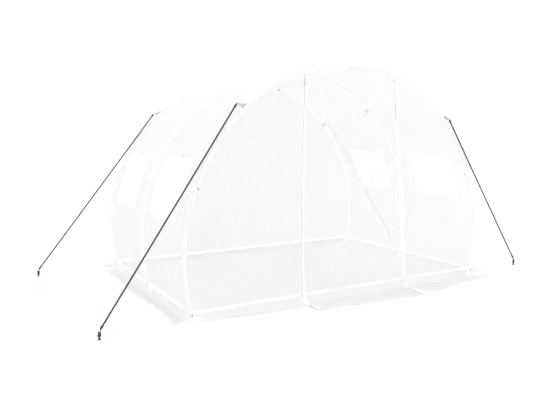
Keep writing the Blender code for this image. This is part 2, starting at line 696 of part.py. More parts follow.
def main():
    """Clears the scene and builds the greenhouse."""
    for old in list(bpy.data.objects):
        bpy.data.objects.remove(old)
    tube = material("white_tube", (0.86, 0.87, 0.87), 0.35, 0.0)
    film = material("cover_film", (0.90, 0.91, 0.91), 0.40, 0.0, 0.6)
    net = material("window_net", (0.75, 0.77, 0.77), 0.70, 0.0, 0.6)
    tape = material("zip_tape", (0.70, 0.71, 0.71), 0.70)
    metal = material("zip_slider", (0.10, 0.11, 0.11), 0.35, 0.8)
    rope = material("green_rope", (0.03, 0.10, 0.07), 0.75)
    clip = material("grey_clip", (0.60, 0.61, 0.61), 0.45)
    peg = material("green_peg", (0.02, 0.15, 0.09), 0.40)
    build_hoops(tube)
    build_base_bars(tube)
    build_purlins(tube)
    build_braces(tube)
    build_tunnel(film, net)
    build_window_flaps(film)
    build_end_walls(film)
    build_door(film)
    build_side_skirts(film)
    build_zips(tape, metal)
    build_guys(rope, clip, peg)


main()
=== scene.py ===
"""The looks of a plastic tunnel greenhouse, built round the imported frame.

Lengths are metres and angles are radians. +X runs along the front from left to right, +Y to the back and +Z
up. Every new piece is a surface worked out from two parameters and keeps its place in its own mesh.
"""
import json
from math import ceil, pi, radians

import bmesh
import bpy
import numpy as np
from mathutils import Euler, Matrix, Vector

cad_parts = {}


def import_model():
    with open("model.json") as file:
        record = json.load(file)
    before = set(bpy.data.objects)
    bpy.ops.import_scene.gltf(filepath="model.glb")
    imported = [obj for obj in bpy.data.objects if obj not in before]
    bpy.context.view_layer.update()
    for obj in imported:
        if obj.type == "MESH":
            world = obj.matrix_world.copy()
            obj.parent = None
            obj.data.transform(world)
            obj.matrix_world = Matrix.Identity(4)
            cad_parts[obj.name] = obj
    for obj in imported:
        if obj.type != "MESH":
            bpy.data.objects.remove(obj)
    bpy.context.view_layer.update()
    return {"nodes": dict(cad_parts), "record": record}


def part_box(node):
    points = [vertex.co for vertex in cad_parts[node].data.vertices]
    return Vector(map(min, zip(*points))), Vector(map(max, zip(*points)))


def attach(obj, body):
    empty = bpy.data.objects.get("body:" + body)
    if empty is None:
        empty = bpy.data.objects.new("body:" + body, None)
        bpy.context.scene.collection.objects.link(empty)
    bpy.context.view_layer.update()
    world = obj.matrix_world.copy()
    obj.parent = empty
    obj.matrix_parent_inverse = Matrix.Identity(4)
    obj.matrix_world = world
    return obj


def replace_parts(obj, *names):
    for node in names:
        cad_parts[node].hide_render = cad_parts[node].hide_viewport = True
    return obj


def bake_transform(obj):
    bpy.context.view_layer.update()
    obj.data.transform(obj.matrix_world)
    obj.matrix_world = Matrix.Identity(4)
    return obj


SIDES = {"left": -1, "right": 1}
ENDS = {"front": -1, "back": 1}

# The steel tubes
TUBE_RADIUS = 0.0125
TUBE_WALL = 0.001
TUBE_SIDES = 28
TUBE_LIP = 0.0004
CAP_STEPS = 4
JOINT_GROOVE = 0.0006
PURLIN_RADIUS = 0.0095
BRACE_ANGLES = {"front": (radians(75.8), radians(51.0)), "back": (radians(75.8), radians(43.0))}
BRACE_INWARD = -(TUBE_RADIUS + 0.0018)

# The film, its openings and its hems
FILM = 0.0006
GAP = 0.0003
SHEET_BOTTOM = 0.058
HOOP_HOLD = 0.014
WINDOW_BOTTOM = 0.750
WINDOW_TOP = 1.200
WINDOW_WIDTH = 0.580
WINDOW_LAP = 0.015
FLAP_LAP = 0.030
BAND_HALF = 0.040
HEM_START = 0.995
HEM_BEND = 0.0012
HEM_FACE = 0.020
ARC_CELL = 0.0105
LENGTH_CELL = 0.0125
WALL_CELL = 0.013
FLAP_CELL = 0.014
NET = 0.0005
NET_DROP = 0.0010

# The door and its zips
DOOR_TOP = 1.850
DOOR_FOLD = (1.830, 1.870)
ZIP_FOOT = 0.072
ZIPS = {"left": (-0.507, -0.491), "right": (0.620, 0.440)}
ZIP_BOWS = {"left": -0.020, "right": 0.0}
ZIP_SEAM = 0.0004
ZIP_TAPE = {"fixed": 0.011, "door": 0.022}
ZIP_TAPE_DEPTH = 0.0008
ZIP_TAPE_GAP = 0.0006
TOOTH_PITCH = 0.0030
TOOTH_REACH = 0.0008
TOOTH_ROOT = 0.0036
TOOTH_DEPTH = 0.0019
TOOTH_HALF = 0.0006

# The ropes' routes, as the solids have them
ROPE_RADIUS = 0.0065
ROPE_SAG = 0.003
ROPE_STEP = 0.025
ROPE_TOPS = {
    "front_left": (-1.082, -0.990, 1.631),
    "front_right": (1.054, -1.085, 1.530),
    "back_left": (-1.0853, 0.930, 1.597),
    "back_right": (1.155, 0.990, 1.536),
}
PEG_PLACES = {
    "front_left": (-2.178, -1.046),
    "front_right": (2.248, -0.937),
    "back_left": (-2.254, 1.077),
    "back_right": (2.222, 1.040),
}
ROPE_END_HEIGHT = 0.070
ROPE_END_REACH = 0.008
BRAID_LAY = 0.036
BRAID_STEP = 0.0030
BRAID_SIDES = 24
WHIPPING_TURNS = 9
WHIPPING_PITCH = 0.0026
WHIPPING_RADIUS = 0.0012
WHIPPING_CLEARANCE = 0.0008
WHIPPING_PLACES = (0.010, 0.034)
LOOP_RADIUS = 0.0029
LOOP_CLEARANCE = 0.0034
LOOP_HEIGHT = 0.036
LOOP_TURNS = 2.0
LOOP_PITCH = 0.0062
PEG_RADIUS = 0.0075
PEG_STEM = 0.044
PEG_BEND_RADIUS = 0.012
PEG_BEND = radians(60)
PEG_HEAD = 0.0030
PEG_PROFILE = ((0, 0.0105), (0.0034, 0.0105), (0.0046, 0.0098), (0.0052, 0.0086), (0.0062, PEG_RADIUS),
               (0.016, PEG_RADIUS), (0.0165, 0.0070), (0.0172, 0.0070), (0.0177, PEG_RADIUS),
               (0.030, PEG_RADIUS), (PEG_STEM, PEG_RADIUS))

# The outer edges of the flaps on the ground, as X and Y from left to right, or front to back at the sides
LEFT_PANEL_FLAP = ((-1.503, -1.036), (-1.278, -1.071), (-0.936, -1.110), (-0.586, -1.116), (-0.512, -1.102))
DOOR_FLAP = ((-0.492, -1.235), (-0.478, -1.258), (-0.435, -1.267), (-0.245, -1.270), (-0.112, -1.292),
             (0.087, -1.310), (0.314, -1.318), (0.470, -1.342), (0.548, -1.348), (0.590, -1.320))
RIGHT_PANEL_FLAP = ((0.690, -1.280), (0.702, -1.304), (0.735, -1.308), (0.868, -1.287), (1.027, -1.258),
                    (1.167, -1.213), (1.292, -1.205), (1.480, -1.178), (1.700, -1.113))
BACK_FLAP = ((-1.600, 1.200), (-1.600, 1.240), (-1.544, 1.270), (-1.446, 1.345), (-0.900, 1.352),
             (0.0, 1.340), (0.850, 1.350), (1.450, 1.342), (1.570, 1.270), (1.600, 1.200))
SIDE_FLAPS = {
    "left": (((-1.628, -1.046), (-1.605, -0.649), (-1.617, -0.305), (-1.640, 0.093), (-1.612, 0.715),
              (-1.628, 1.040)), (-0.930, 0.990)),
    "right": (((1.900, -0.905), (1.860, -0.760), (1.800, -0.300), (1.760, 0.200), (1.700, 0.700),
               (1.650, 1.040)), (-1.000, 0.990)),
}

# Bolts, snaps, toggles and ties: heads are a radius and a height
BOLT_HEAD = (0.0060, 0.0045)
BRACE_BOLT_HEAD = (0.0058, 0.0042)
BRACE_BOLT_INSET = 0.0026
SNAP_HEAD = (0.0055, 0.0030)
SNAP_PLACES = ((-1.422, 1.004), (-1.487, 0.053), (-0.734, 1.742), (1.350, 1.013), (1.487, 0.053))
DOOR_TOGGLE_HEAD = (0.0045, 0.0035)
DOOR_TOGGLE_PLACES = ((-0.057, 1.944), (0.428, 1.858))
WINDOW_TOGGLE_HEAD = (0.0048, 0.0040)
WINDOW_TOGGLE_SHIFTS = (-0.031, -0.010)
WINDOW_TOGGLE_RISE = 0.026
BRACE_TIE_RADIUS = 0.0026
BRACE_TIE_RISE = 0.042
BRACE_TIE_CLEARANCE = 0.0030
BRACE_TIE_TURNS = 2.25
BRACE_TIE_PITCH = 0.0058
BRACE_TIE_TAIL = ((0, 0, 0), (-0.001, 0, -0.012), (0.003, 0, -0.030), (0.001, 0, -0.050),
                  (-0.012, 0, -0.064), (-0.032, 0, -0.068))
STRAP_TOP = (-0.4985, 1.882)
STRAP_FOOT = (-0.5005, 1.781)
STRAP_WIDTH = 0.0030
STRAP_DEPTH = 0.0012
DOOR_TIE_TOP = (0.422, 1.838)
DOOR_TIE_FOOT = 1.522
DOOR_TIE_SWING = 0.034
DOOR_TIE_RADIUS = 0.0014

# Colours, as shares of red, green and blue
MILKY = (0.56, 0.545, 0.55)
WHITE = (0.60, 0.595, 0.60)
PATCH = (0.66, 0.655, 0.66)
STITCH = (0.45, 0.45, 0.45)
DARK = (0.06, 0.06, 0.062)

# The light, and the camera at the photograph's viewpoint
STUDIO_LIGHT = 1.22
BACKGROUND = 1.14
# Painted light: a white glow on the films and the tubes stands in for the light through the milky film and for
# brighter light on the tubes. The films glow more towards the right, as though lit from there, and more still
# where the cover is made more opaque towards the right; next to the ground the wall films keep one even glow.
FILM_GLOW = 0.28
GLOW_SPAN = (-0.6, 1.3)
GLOW_LEVELS = (0.94, 1.16)
GLOW_FOR_RIGHT_OPACITY = 1.3
GROUND_GLOW = 1.03
GROUND_BAND = (0.02, 0.38)
RIGHT_OPACITY_SPAN = (0.95, 1.25)
TUBE_GLOW = 0.23
CAMERA_PLACE = (-3.104, -5.052, 1.428)
CAMERA_YAW = radians(30.12)
CAMERA_PITCH = radians(7.24)
CAMERA_LENS = 38.77
CAMERA_SENSOR = 36.0
FLOOR_REACH = 60
FLOOR_DROP = 0.0005


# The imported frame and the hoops' circle


def box_centre(node):
    """The middle of a node's box."""
    low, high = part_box(node)
    return (low + high) / 2


def measure_frame():
    """The hoops' circle and the places of the feet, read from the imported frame."""
    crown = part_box("front_hoop_left_bow")[1].z - TUBE_RADIUS
    foot = box_centre("right_front_base_bar")
    rise = crown - foot.z
    centre = (crown + foot.z - foot.x ** 2 / rise) / 2
    return {
        "bar_height": foot.z,
        "end": box_centre("back_base_bar").y,
        "centre": centre,
        "radius": crown - centre,
    }


def hoop_line(size, angles, offset=0.0, side=1):
    """X and Z on the hoops' circle moved out by the offset: side * r cos(angle) and centre + r sin(angle)."""
    reach = size["radius"] + offset
    return side * reach * np.cos(angles), size["centre"] + reach * np.sin(angles)


def angle_at_height(size, height, offset=0.0):
    """The angle at which the circle moved out by the offset is at a height."""
    return np.arcsin((height - size["centre"]) / (size["radius"] + offset))


def outline_radius(size):
    """The radius of the cover's outer face."""
    return size["radius"] + TUBE_RADIUS + GAP + FILM


def outline_x(size, height):
    """X of the cover's outer outline at a height: sqrt(r^2 - (z - centre)^2)."""
    return np.sqrt(np.maximum(outline_radius(size) ** 2 - (height - size["centre"]) ** 2, 0))


# Meshes


def link_mesh(name, points, faces, uv=None):
    """An object at the origin with the given points, faces and, per point, a map in metres."""
    mesh = bpy.data.meshes.new(name)
    mesh.from_pydata(np.asarray(points, float).tolist(), [], [list(face) for face in faces])
    if uv is not None:
        corners = np.zeros(len(mesh.loops), np.int32)
        mesh.loops.foreach_get("vertex_index", corners)
        layer = mesh.uv_layers.new(name="metres")
        layer.data.foreach_set("uv", np.asarray(uv, np.float32)[corners].ravel())
    mesh.update()
    made = bpy.data.objects.new(name, mesh)
    bpy.context.collection.objects.link(made)
    return made


def grid_faces(rows, columns, join_rows=False, join_columns=False, keep=None):
    """Quads between neighbouring points of a grid, as an array; keep says which cells stay."""
    down = np.arange(rows if join_rows else rows - 1)
    along = np.arange(columns if join_columns else columns - 1)
    row, column = np.meshgrid(down, along, indexing="ij")
    if keep is not None:
        row, column = row[keep], column[keep]
    below, beside = (row + 1) % rows, (column + 1) % columns
    corners = (row * columns + column, row * columns + beside,
               below * columns + beside, below * columns + column)
    return np.stack([one.ravel() for one in corners], axis=1)


def rework(piece, change):
    """Lets a function change a piece's mesh while it is open for editing."""
    work = bmesh.new()
    work.from_mesh(piece.data)
    change(work)
    work.to_mesh(piece.data)
    work.free()


def dress(piece, body, material, sharp=True):
    """Gives a piece its finish, its shading and the body that it moves with."""
    piece.data.materials.append(material)
    piece.data.shade_smooth()
    if sharp:
        piece.data.set_sharp_from_angle(angle=radians(38))
    if body:
        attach(piece, body)
    return piece


def unit(vectors):
    """Vectors of length one."""
    vectors = np.asarray(vectors, float)
    return vectors / np.linalg.norm(vectors, axis=-1, keepdims=True)


def run_down(points):
    """The way along the cloth from the first row of a grid to each later row."""
    return np.cumsum(np.linalg.norm(np.diff(points, axis=0), axis=-1), axis=0)


def ring_surface(centres, across, upward, widths, heights, sides):
    """Ellipses carried along a path: centre + across * width * cos(turn) + upward * height * sin(turn)."""
    turns = np.linspace(0, 2 * pi, sides, endpoint=False)
    count = len(centres)
    across = np.broadcast_to(across, (count, 3))
    upward = np.broadcast_to(upward, (count, 3))
    widths = np.broadcast_to(widths, count)[:, None, None]
    heights = np.broadcast_to(heights, count)[:, None, None]
    return (centres[:, None] + across[:, None] * widths * np.cos(turns)[None, :, None]
            + upward[:, None] * heights * np.sin(turns)[None, :, None])


def skin(rings, joined=False):
    """Points and faces of a closed solid from rings: the last joins the first, or both ends are filled."""
    count, sides = rings.shape[:2]
    faces = grid_faces(count, sides, join_rows=joined, join_columns=True).tolist()
    if not joined:
        faces += [list(range(sides))[::-1], list(range((count - 1) * sides, count * sides))]
    return rings.reshape(-1, 3), faces


def gather(name, solids):
    """One piece from closed solids, each given as points and faces, with its faces turned outwards."""
    points, faces, total = [], [], 0
    for some_points, some_faces in solids:
        points.append(some_points)
        faces += [[corner + total for corner in face] for face in some_faces]
        total += len(some_points)
    piece = link_mesh(name, np.concatenate(points), faces)
    rework(piece, lambda work: bmesh.ops.recalc_face_normals(work, faces=work.faces))
    return piece


def tube_rings(points, radii, hint, sides):
    """Rings of the given radii along a path; hint is a direction, or one a point, that is never along it."""
    points = np.asarray(points, float)
    along = unit(np.gradient(points, axis=0))
    hint = np.broadcast_to(np.asarray(hint, float), points.shape)
    across = unit(hint - (hint * along).sum(1)[:, None] * along)
    return ring_surface(points, across, np.cross(along, across), radii, radii, sides)


def round_ended(points, radius):
    """A path and its radii with a rounded end at each side: r cos t out to r sin t past the path's end."""
    points = np.asarray(points, float)
    turns = np.linspace(0, pi / 2 - 0.12, CAP_STEPS + 1)[1:]
    first, last = unit(points[0] - points[1]), unit(points[-1] - points[-2])
    head = points[0] + first * radius * np.sin(turns)[::-1, None]
    tail = points[-1] + last * radius * np.sin(turns)[:, None]
    ends = radius * np.cos(turns)
    radii = np.concatenate([ends[::-1], np.full(len(points), radius), ends])
    return np.concatenate([head, points, tail]), radii


def helix(centre, axis, start, radius, turns, pitch):
    """A coil round an axis: c + axis pitch t / 2 pi + radius (a cos t + b sin t)."""
    axis = unit(axis)
    a = unit(np.asarray(start, float) - np.dot(start, axis) * axis)
    t = np.linspace(0, 2 * pi * turns, int(turns * 22) + 1)[:, None]
    return centre + axis * pitch * t / (2 * pi) + radius * (a * np.cos(t) + np.cross(axis, a) * np.sin(t))


def smooth_path(places, count):
    """A smooth path through the given places: a cubic through each four of them in turn."""
    places = np.asarray(places, float)
    padded = np.concatenate([2 * places[:1] - places[1:2], places, 2 * places[-1:] - places[-2:-1]])
    t = np.linspace(0, len(places) - 1 - 1e-9, count)
    step = t.astype(int)
    t = (t - step)[:, None]
    a, b, c, d = (padded[step + shift] for shift in range(4))
    return 0.5 * (2 * b + (c - a) * t + (2 * a - 5 * b + 4 * c - d) * t ** 2
                  + (3 * b - a - 3 * c + d) * t ** 3)


def hanging_cord(name, line, radius, hint, body, material):
    """A thin cord with rounded ends that hangs free along a line."""
    points, radii = round_ended(line, radius)
    cord = gather(name, [skin(tube_rings(points, radii, hint, 12))])
    dress(cord, body, material, sharp=False)


def button(centre, out, radius, height):
    """A low domed head on a surface: rings that rise upright and then close in towards the top."""
    out = unit(out)
    across = unit(np.cross(out, (0.31, 0.22, 0.92)))
    heights = height * np.array([0.0, 0.45, 0.75, 0.92, 0.985, 1.0])
    centres = np.asarray(centre, float) + out * heights[:, None]
    widths = radius * np.array([1.0, 1.0, 0.86, 0.58, 0.30, 0.05])
    return skin(ring_surface(centres, across, np.cross(out, across), widths, widths, 14))


# Materials


def link_node(tree, kind, inputs=None, **settings):
    """A node with its settings, and its inputs either linked or set."""
    made = tree.nodes.new(kind)
    for key, value in settings.items():
        setattr(made, key, value)
    for key, value in (inputs or {}).items():
        if isinstance(value, bpy.types.NodeSocket):
            tree.links.new(value, made.inputs[key])
        else:
            made.inputs[key].default_value = value
    return made


def maths(tree, operation, *values):
    """The output of a Math node on these values or sockets."""
    return link_node(tree, "ShaderNodeMath", dict(enumerate(values)), operation=operation).outputs[0]


def object_place(tree):
    """The place of a point in its object, which is its place in the model."""
    return link_node(tree, "ShaderNodeTexCoord").outputs["Object"]


def parted(tree, vector):
    """The X, Y and Z of a vector, as sockets."""
    return link_node(tree, "ShaderNodeSeparateXYZ", {0: vector}).outputs


def noise(tree, place, scale, detail, roughness=0.5):
    """Cloudy noise from about 0 to 1."""
    inputs = {"Vector": place, "Scale": scale, "Detail": detail, "Roughness": roughness}
    return link_node(tree, "ShaderNodeTexNoise", inputs).outputs["Fac"]


def ramp(tree, value, low, high, start=0.0, finish=1.0):
    """A straight run from start to finish while the value goes from low to high, and level beyond."""
    inputs = {"Value": value, "From Min": low, "From Max": high, "To Min": start, "To Max": finish}
    return link_node(tree, "ShaderNodeMapRange", inputs).outputs["Result"]


def opaque(colour):
    """A colour with nothing see-through in it."""
    return (*colour, 1.0)


def mixed(tree, share, first, second):
    """A colour between two, each of them plain or a socket."""
    inputs = {"Factor": share, "A": first, "B": second}
    return link_node(tree, "ShaderNodeMix", inputs, data_type="RGBA").outputs["Result"]


def raise_surface(tree, shader, height, strength, distance):
    """Feeds a height through a bump into the shader's normal."""
    bump = link_node(tree, "ShaderNodeBump", {"Height": height, "Strength": strength, "Distance": distance})
    tree.links.new(bump.outputs["Normal"], shader.inputs["Normal"])


def principled(name, **inputs):
    """A material whose Principled shader has these plain values; returns it with its tree and shader."""
    made = bpy.data.materials.new(name)
    made.use_nodes = True
    shader = made.node_tree.nodes["Principled BSDF"]
    for key, value in inputs.items():
        shader.inputs[key.replace("_", " ")].default_value = value
    return made, made.node_tree, shader


def new_group(name, inputs, outputs):
    """A shader node group with named sockets; returns it with its input and output nodes."""
    group = bpy.data.node_groups.new(name, "ShaderNodeTree")
    for label, kind, value in inputs:
        socket = group.interface.new_socket(label, in_out="INPUT", socket_type=kind)
        if value is not None:
            socket.default_value = value
    for label in outputs:
        group.interface.new_socket(label, in_out="OUTPUT", socket_type="NodeSocketFloat")
    return group, group.nodes.new("NodeGroupInput").outputs, group.nodes.new("NodeGroupOutput").inputs


def thread_group():
    """Threads of a woven grid: 1 on a thread and 0 between, from a map in metres."""
    group, given, result = new_group(
        "thread grid",
        [("Map", "NodeSocketVector", None), ("Pitch", "NodeSocketFloat", 0.01),
         ("Thread", "NodeSocketFloat", 0.001)],
        ["Mask"])
    split = parted(group, given["Map"])
    masks = []
    for axis in ("X", "Y"):
        cell = maths(group, "DIVIDE", split[axis], given["Pitch"])
        from_line = maths(group, "MULTIPLY", maths(group, "PINGPONG", cell, 0.5), given["Pitch"])
        edge = maths(group, "SUBTRACT", given["Thread"], from_line)
        sharp = maths(group, "DIVIDE", edge, given["Thread"])
        masks.append(maths(group, "MAXIMUM", sharp, 0.0))
    both = maths(group, "MAXIMUM", *masks)
    group.links.new(maths(group, "SMOOTH_MIN", both, 1.0, 0.1), result["Mask"])
    return group


def hem_group():
    """Where a film is doubled along its edges, and the stitches there, from each point's way to the edge."""
    group, given, result = new_group(
        "hem and stitches",
        [("Edge", "NodeSocketFloat", None), ("Map", "NodeSocketVector", None),
         ("Width", "NodeSocketFloat", 0.024)],
        ["Hem", "Stitch"])
    past = maths(group, "SUBTRACT", given["Width"], given["Edge"])
    fade = maths(group, "MULTIPLY", past, 400.0)
    group.links.new(maths(group, "MINIMUM", maths(group, "MAXIMUM", fade, 0.0), 1.0), result["Hem"])
    inner = maths(group, "SUBTRACT", past, 0.004)
    line = maths(group, "LESS_THAN", maths(group, "ABSOLUTE", inner), 0.0006)
    split = parted(group, given["Map"])
    run = maths(group, "DIVIDE", maths(group, "ADD", split["X"], split["Y"]), 0.0055)
    dash = maths(group, "LESS_THAN", maths(group, "FRACT", run), 0.62)
    group.links.new(maths(group, "MULTIPLY", line, dash), result["Stitch"])
    return group


def film_material(name, groups, alpha, thread_alpha, colour, crease, hem_alpha=0.0, pitch=0.011,
                  glow=FILM_GLOW, right_opacity=0.0, grounded=False):
    """Milky film with a woven reinforcing grid, doubled hems with stitches, and fine creases.

    Painted light: the light that the milky film lets through in all directions is given as a faint glow of its
    own, stronger towards the right as though lit from there, and stronger still where a film is made more
    opaque towards the right; next to the ground a grounded film keeps one even glow.
    """
    made, tree, shader = principled(name, Roughness=0.34, IOR=1.45, Emission_Strength=glow)
    split = parted(tree, object_place(tree))
    # Painted light: the glow rises from left to right as though the film were lit from the right.
    light = ramp(tree, split["X"], *GLOW_SPAN, GLOW_LEVELS[0], GLOW_LEVELS[1] + GLOW_FOR_RIGHT_OPACITY * right_opacity)
    # Painted light: next to the ground the glow is brought to one even level.
    if grounded:
        above = ramp(tree, split["Z"], *GROUND_BAND)
        past = maths(tree, "SUBTRACT", light, GROUND_GLOW)
        light = maths(tree, "MULTIPLY_ADD", past, above, GROUND_GLOW)
    tree.links.new(light, shader.inputs["Emission Color"])

    surface = link_node(tree, "ShaderNodeUVMap", uv_map="metres").outputs["UV"]
    grid = link_node(tree, "ShaderNodeGroup", node_tree=groups["threads"])
    tree.links.new(surface, grid.inputs["Map"])
    grid.inputs["Pitch"].default_value = pitch
    threads = grid.outputs["Mask"]
    sewing = link_node(tree, "ShaderNodeGroup", node_tree=groups["hem"])
    edge = link_node(tree, "ShaderNodeAttribute", attribute_name="edge")
    tree.links.new(edge.outputs["Fac"], sewing.inputs["Edge"])
    tree.links.new(surface, sewing.inputs["Map"])
    hem, stitch = sewing.outputs["Hem"], sewing.outputs["Stitch"]

    cloud = maths(tree, "MULTIPLY_ADD", noise(tree, surface, 2.2, 4.0), alpha * 0.6, alpha * 0.7)
    woven = maths(tree, "MULTIPLY_ADD", threads, thread_alpha, cloud)
    total = maths(tree, "MULTIPLY_ADD", hem, hem_alpha, woven)
    # Painted light: the film is made more opaque towards the right, so that more of its stronger glow shows
    # there.
    if right_opacity:
        total = maths(tree, "ADD", total, ramp(tree, split["X"], *RIGHT_OPACITY_SPAN, 0.0, right_opacity))
    tree.links.new(total, shader.inputs["Alpha"])

    sewn = mixed(tree, stitch, mixed(tree, hem, opaque(colour), opaque(PATCH)), opaque(STITCH))
    tree.links.new(sewn, shader.inputs["Base Color"])
    raised = maths(tree, "MULTIPLY_ADD", threads, 0.10, noise(tree, surface, 22.0, 5.0, 0.6))
    raise_surface(tree, shader, maths(tree, "MULTIPLY_ADD", stitch, 0.3, raised), crease, 0.004)
    return made


def plain_material(name, colour, roughness, metallic=0.0, grain=400.0, depth=0.08, coat=0.0, glow=0.0):
    """A moulded or painted finish: a fine grain in its bump, a slight change of tone and a painted white glow.
    """
    made, tree, shader = principled(name, Metallic=metallic, Coat_Weight=coat, Emission_Strength=glow)
    # Painted light: a white glow as strong as glow, so that the part looks more brightly lit.
    shader.inputs["Emission Color"].default_value = (1.0, 1.0, 1.0, 1.0)
    place = object_place(tree)
    cloud = noise(tree, place, 14.0, 5.0)
    darker = opaque([channel * 0.90 for channel in colour])
    lighter = opaque([min(channel * 1.05, 1.0) for channel in colour])
    tree.links.new(mixed(tree, cloud, darker, lighter), shader.inputs["Base Color"])
    tree.links.new(maths(tree, "MULTIPLY_ADD", cloud, 0.16, roughness - 0.08), shader.inputs["Roughness"])
    raise_surface(tree, shader, noise(tree, place, grain, 2.0), depth, 0.001)
    return made


def tie_material(name, pale, dark, turn, blend):
    """A cord that is pale above a height and dark below it."""
    made, tree, shader = principled(name, Roughness=0.8)
    place = object_place(tree)
    share = ramp(tree, parted(tree, place)["Z"], turn - blend, turn + blend)
    tree.links.new(mixed(tree, share, opaque(dark), opaque(pale)), shader.inputs["Base Color"])
    raise_surface(tree, shader, noise(tree, place, 1200.0, 2.0), 0.3, 0.001)
    return made


def grey(level):
    """A neutral colour."""
    return (level, level, level)


def make_materials():
    """Every finish of the greenhouse."""
    groups = {"threads": thread_group(), "hem": hem_group()}
    # Painted light: the glow given to the band, the flaps, the net, the tubes, the zip tapes, the right zip's
    # teeth and the sliders makes them look brighter, as where light falls on them.
    return {
        "film": film_material("wall_film", groups, 0.29, 0.08, MILKY, 0.35, hem_alpha=0.10, grounded=True),
        "cover": film_material("cover_film", groups, 0.29, 0.08, MILKY, 0.35, hem_alpha=0.10, right_opacity=0.11),
        "band": film_material("white_band", groups, 0.46, 0.06, WHITE, 0.25, glow=0.31),
        "skirt": film_material("skirt_film", groups, 0.29, 0.08, MILKY, 0.45, hem_alpha=0.10),
        "flap": film_material("flap_film", groups, 0.34, 0.08, PATCH, 0.30, hem_alpha=0.14, glow=0.325),
        "net": film_material("window_net", groups, 0.05, 0.34, PATCH, 0.10, pitch=0.004, glow=0.335),
        "tube": plain_material("white_tube", grey(0.94), 0.35, grain=260.0, coat=0.2, glow=TUBE_GLOW),
        "zip": plain_material("zip_tape", grey(0.84), 0.75, grain=900.0, depth=0.2, glow=0.12),
        # Painted shade and painted light: the two zips' teeth are one kind; the left ones are a darker grey as
        # in shade, the right ones pale with a glow as in light.
        "chain": plain_material("zip_chain", grey(0.64), 0.45),
        "lit_chain": plain_material("lit_zip_chain", grey(0.86), 0.45, glow=0.14),
        "slider": plain_material("zip_slider", grey(0.88), 0.35, coat=0.1, glow=0.06),
        "rope": plain_material("green_rope", (0.012, 0.060, 0.038), 0.70, grain=900.0, depth=0.3),
        "clip": plain_material("grey_clip", grey(0.60), 0.45),
        "peg": plain_material("green_peg", (0.008, 0.085, 0.045), 0.38, grain=700.0),
        "bolt": plain_material("dark_bolt", DARK, 0.35, metallic=0.7),
        "toggle": plain_material("black_toggle", DARK, 0.5),
        "strap": plain_material("grey_strap", (0.46, 0.46, 0.465), 0.85, grain=1100.0, depth=0.3),
        "tie": tie_material("door_tie", grey(0.60), (0.10, 0.10, 0.105), 1.665, 0.02),
    }


# Tubes


def tube_shell(centres, across, upward, radii):
    """Rings up a tube's outer face and back down its inner face."""
    bore = radii.max() - TUBE_WALL
    outer = ring_surface(centres, across, upward, radii, radii, TUBE_SIDES)
    inner = ring_surface(centres, across, upward, bore, bore, TUBE_SIDES)
    return np.concatenate([outer, inner[::-1]])


def hoop_tube(size, name, y, side, low, high, groove=None):
    """A hollow hoop tube about the circle's arc, with a thin groove where two real tubes meet."""
    angles = np.linspace(low, high, ceil((high - low) / radians(1.2)) + 1)
    radii = np.full(len(angles), TUBE_RADIUS)
    if groove is not None:
        near = groove + np.array([-1.2, -0.6, 0.6, 1.2]) * 0.001 / size["radius"]
        angles = np.concatenate([angles, near])
        radii = np.concatenate([radii, TUBE_RADIUS - np.array([0.0, JOINT_GROOVE, JOINT_GROOVE, 0.0])])
        order = np.argsort(angles)
        angles, radii = angles[order], radii[order]
    x, z = hoop_line(size, angles, 0.0, side)
    centres = np.stack([x, np.full_like(x, y), z], axis=1)
    outwards = np.stack([side * np.cos(angles), np.zeros_like(x), np.sin(angles)], axis=1)
    return gather(name, [skin(tube_shell(centres, (0, 1, 0), outwards, radii), joined=True)])


def straight_tube(node):
    """A hollow round tube along the longest side of a node's box, with softened lips."""
    low, high = [np.array(corner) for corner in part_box(node)]
    axis = int(np.argmax(high - low))
    radius = float(np.delete(high - low, axis).max() / 2)
    centres = np.repeat((low + high)[None] / 2, 4, axis=0)
    centres[:, axis] = [low[axis], low[axis] + TUBE_LIP, high[axis] - TUBE_LIP, high[axis]]
    radii = np.array([radius - TUBE_LIP, radius, radius, radius - TUBE_LIP])
    across, upward = np.eye(3)[(axis + 1) % 3], np.eye(3)[(axis + 2) % 3]
    return gather(f"{node}_tube", [skin(tube_shell(centres, across, upward, radii), joined=True)])


def flatten_foot(leg):
    """Moves a leg's points that lie under the ground up to it."""
    points = np.zeros(len(leg.data.vertices) * 3)
    leg.data.vertices.foreach_get("co", points)
    points = points.reshape(-1, 3)
    points[:, 2] = np.maximum(points[:, 2], 0.0)
    leg.data.vertices.foreach_set("co", points.ravel())


def build_frame(size, finish):
    """The smooth tubes that stand for the frame's many-sided ones."""
    foot = angle_at_height(size, size["bar_height"])
    ground = angle_at_height(size, 0.0)
    joint = foot + (pi / 2 - foot) / 3
    upper_joint = foot + (pi / 2 - foot) * 2 / 3
    gap = GAP / size["radius"]
    for hoop, y in (("front", -size["end"]), ("middle", 0.0), ("back", size["end"])):
        for label, side in SIDES.items():
            leg = hoop_tube(size, f"{hoop}_{label}_leg_tube", y, side, ground, joint)
            flatten_foot(leg)
            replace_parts(leg, f"{hoop}_hoop_{label}_leg")
            bow = hoop_tube(size, f"{hoop}_{label}_bow_tube", y, side, joint + gap, pi / 2 - gap, upper_joint)
            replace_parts(bow, f"{hoop}_hoop_{label}_bow")
            for piece in (leg, bow):
                dress(piece, "greenhouse", finish["tube"])
    bars = ["front_base_bar", "back_base_bar", "ridge_purlin", "left_purlin", "right_purlin"]
    bars += [f"{label}_{end}_base_bar" for label in SIDES for end in ENDS]
    for node in bars:
        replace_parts(dress(straight_tube(node), "greenhouse", finish["tube"]), node)
    build_bolts(size, finish)


def brace_ends(size, bay, offset, side=1):
    """The angle and the place of a brace's upper and lower bolt, moved out from the hoops' middle line."""
    ys = (-size["end"], 0.0) if bay == "front" else (0.0, size["end"])
    ends = []
    for angle, y in zip(BRACE_ANGLES[bay], ys):
        x, z = hoop_line(size, angle, offset, side)
        ends.append((angle, np.array((x, y, z))))
    return ends


